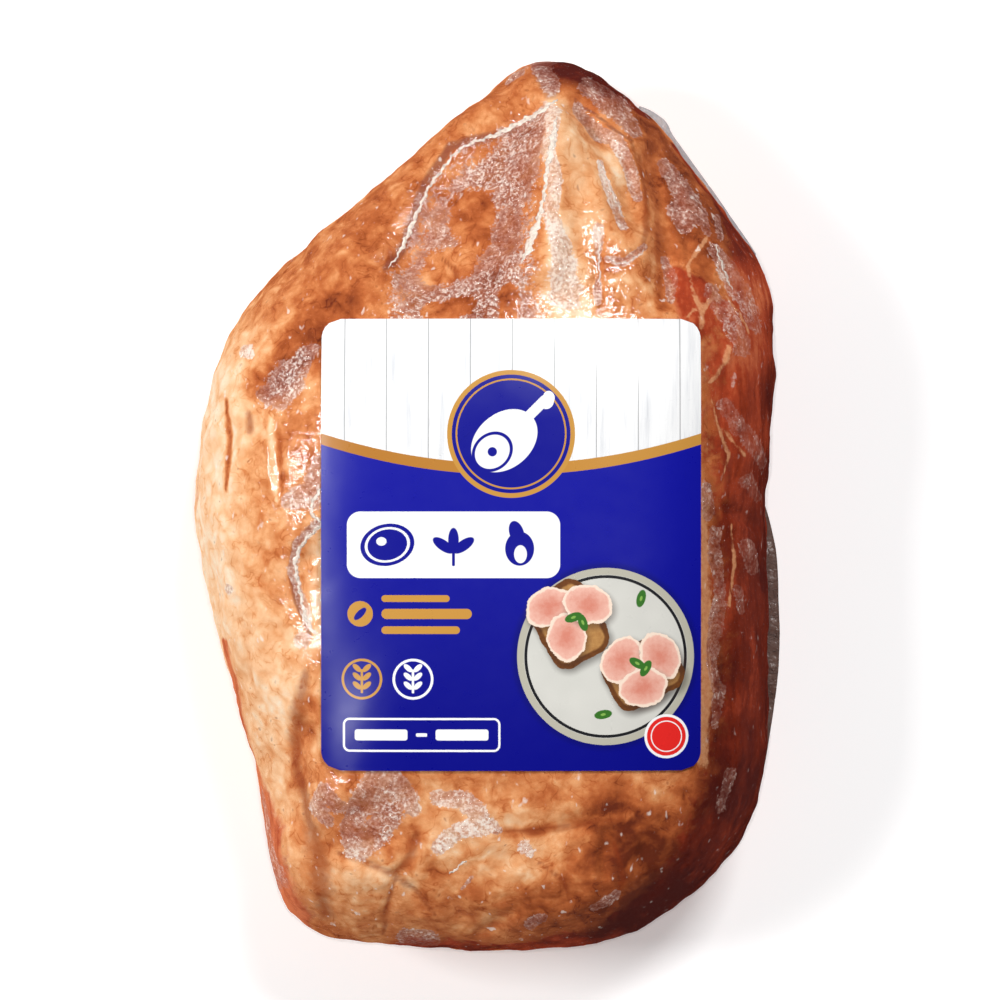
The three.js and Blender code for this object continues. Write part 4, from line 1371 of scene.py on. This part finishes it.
def lay_small_signs(press):
    """Gold stripes beside a gold dot, two ringed leaves and an empty framed field."""
    press.ink(press.oval((-35.4, -16.2), (3.0, 3.0)), GOLD)
    press.ink(press.oval((-35.4, -16.2), (1.9, 0.8), 45), BLUE)
    for y, length, width in ((-12.6, 8.0, 0.8), (-16.2, 10.6, 1.2), (-20.0, 9.2, 0.9)):
        press.ink(press.bar((-30.4 + length, y), (length, width), width), GOLD)
    for x, ink in ((-35, GOLD), (-23, WHITE)):
        rim = press.oval((x, -31.5), (4.8, 4.8))
        press.ring(rim, ink, 0.0, -0.6)
        press.ink(press.bar((x, -32.0), (0.28, 2.8), 0.2), ink)
        for side in (-1, 1):
            for y in (-33.0, -30.9, -28.9):
                leaf = press.oval((x + side * 1.15, y), (1.25, 0.6), side * 42)
                press.ink(leaf, ink)
    press.ring(press.bar((-21, -44.6), (18.5, 4.0), 1.6), WHITE, 0.0, -0.5)
    for x in (-30.5, -11.5):
        press.ink(press.bar((x, -44.6), (6.2, 1.3), 0.6), WHITE)
    press.ink(press.bar((-21, -44.6), (1.3, 0.4), 0.2), WHITE)


def lay_meat_slice(press, centre, half, turn):
    """A cut slice: pink lean with a pale fat edge and a soft shadow."""
    tree = press.tree
    shadow = press.oval((centre[0] + 0.5, centre[1] - 0.8), half, turn)
    press.ink(shadow, paint(70, 44, 34), grow=0.2, soft=1.1, strength=0.6)
    edge = swing(tree, press.oval(centre, half, turn), press.wander, 1.8)
    across = swing(tree, rise(tree, edge, -half[1], 0.0), press.fine, 1.2)
    press.ink(edge, paint(252, 228, 208))
    press.ink(edge, blend(tree, across, paint(222, 138, 118), paint(244, 190, 172)), -0.55, 0.2)


def lay_toast(press, centre, half, corner, turn):
    """A slice of brown bread with a dark crust."""
    tree, crumb = press.tree, press.fine
    shadow = press.bar((centre[0] + 0.6, centre[1] - 0.9), half, corner, turn)
    press.ink(shadow, paint(60, 50, 44), grow=0.2, soft=1.2, strength=0.6)
    edge = swing(tree, press.bar(centre, half, corner, turn), press.wander, 1.2)
    press.ink(edge, blend(tree, crumb, paint(66, 34, 14), paint(140, 84, 40)))
    press.ink(edge, blend(tree, crumb, paint(150, 92, 44), paint(214, 164, 98)), -1.3, 0.3)


def lay_serving(press):
    """A round plate seen from above, with toast, a fan of slices and a few green leaves."""
    tree = press.tree
    plate = press.oval((22.2, -26.2), (20.8, 20.8))
    press.ink(plate, paint(4, 6, 90), grow=1.0, soft=1.0, strength=0.5)
    press.ink(plate, paint(190, 186, 170))
    glaze = noise(tree, press.place, 14, 2.0)
    press.ink(plate, blend(tree, glaze, paint(204, 203, 196), paint(228, 226, 218)), -1.6)
    press.ring(plate, paint(30, 30, 34), -1.7, -2.4)
    lay_toast(press, (13.5, -18.5), (7.5, 9.5), 4.0, 28)
    lay_toast(press, (31.0, -30.0), (7.0, 9.0), 3.8, -62)
    fan = [(9.0, -14.6), (13.0, -21.6), (18.0, -14.0), (26.0, -27.0), (35.0, -26.0), (31.0, -33.5)]
    for number, centre in enumerate(fan):
        lay_meat_slice(press, centre, (5.8, 4.6), 25 + 70 * number)
    for centre, turn in (((14.6, -17.0), 20), ((16.8, -18.2), 110), ((31.6, -29.0), 60),
                         ((29.6, -27.8), 150), ((21.6, -39.8), 10), ((30.5, -12.6), 75)):
        leaf = press.oval(centre, (2.1, 1.05), turn)
        press.ink(leaf, paint(58, 116, 40))
        press.ring(leaf, paint(136, 182, 84), -0.75, -1.2)
    # Brown crumbs strewn on all but its rim
    crumbs = times(tree, rise(tree, plate, -3.0, -5.0), rise(tree, press.fine, 0.72, 0.76))
    press.colour = blend(tree, crumbs, press.colour, paint(188, 142, 70))


def lay_seal(press):
    """A plain round red seal with a white rim."""
    rim = press.oval((36.5, -45.0), (5.2, 5.2))
    press.ink(rim, WHITE)
    press.ink(rim, RED, -0.6)
    press.ring(rim, WHITE, -1.5, -1.75)


def label_material(name, layers):
    """The label's satin plastic with the print that the layers put on it."""
    press = Press(name)
    for lay in layers:
        lay(press)
    tree = press.tree
    sag = noise(tree, press.place, 22, 2.0)
    bump = bumped(tree, sag, 0.35, 1.0)
    shader = add(tree, "ShaderNodeBsdfPrincipled", {
        "Base Color": press.colour, "Specular IOR Level": 0.5, "Normal": bump,
        "Roughness": calc(tree, "MULTIPLY_ADD", press.wander, 0.04, 0.26),
    })
    tree.links.new(shader.outputs[0], press.output.inputs["Surface"])
    return press.material


# Faces of the label take the material of their zone, so that each holds only the print there
LABEL_ZONES = {
    "label_planks": (lay_planks, lay_fields),
    "label_badge": (lay_planks, lay_fields, lay_medallion),
    "label_plaque": (lay_blue, lay_plaque),
    "label_signs": (lay_blue, lay_small_signs),
    "label_plate": (lay_blue, lay_serving, lay_seal),
}


def label_zone(x, y):
    """The zone at a place on the label, in millimetres from its middle."""
    if y > 9:
        return "label_badge" if abs(x) < 17 and y < 43 else "label_planks"
    if x > 12 or (x > 0 and y < -8):
        return "label_plate"
    return "label_plaque" if y > -9 else "label_signs"


for name, layers in LABEL_ZONES.items():
    label.data.materials.append(label_material(name, layers))
for face in label.data.polygons:
    x, y = np.array(face.center[:2]) / MM - LABEL_CENTRE
    face.material_index = list(LABEL_ZONES).index(label_zone(x, y))
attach(label, "root")
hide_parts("label")
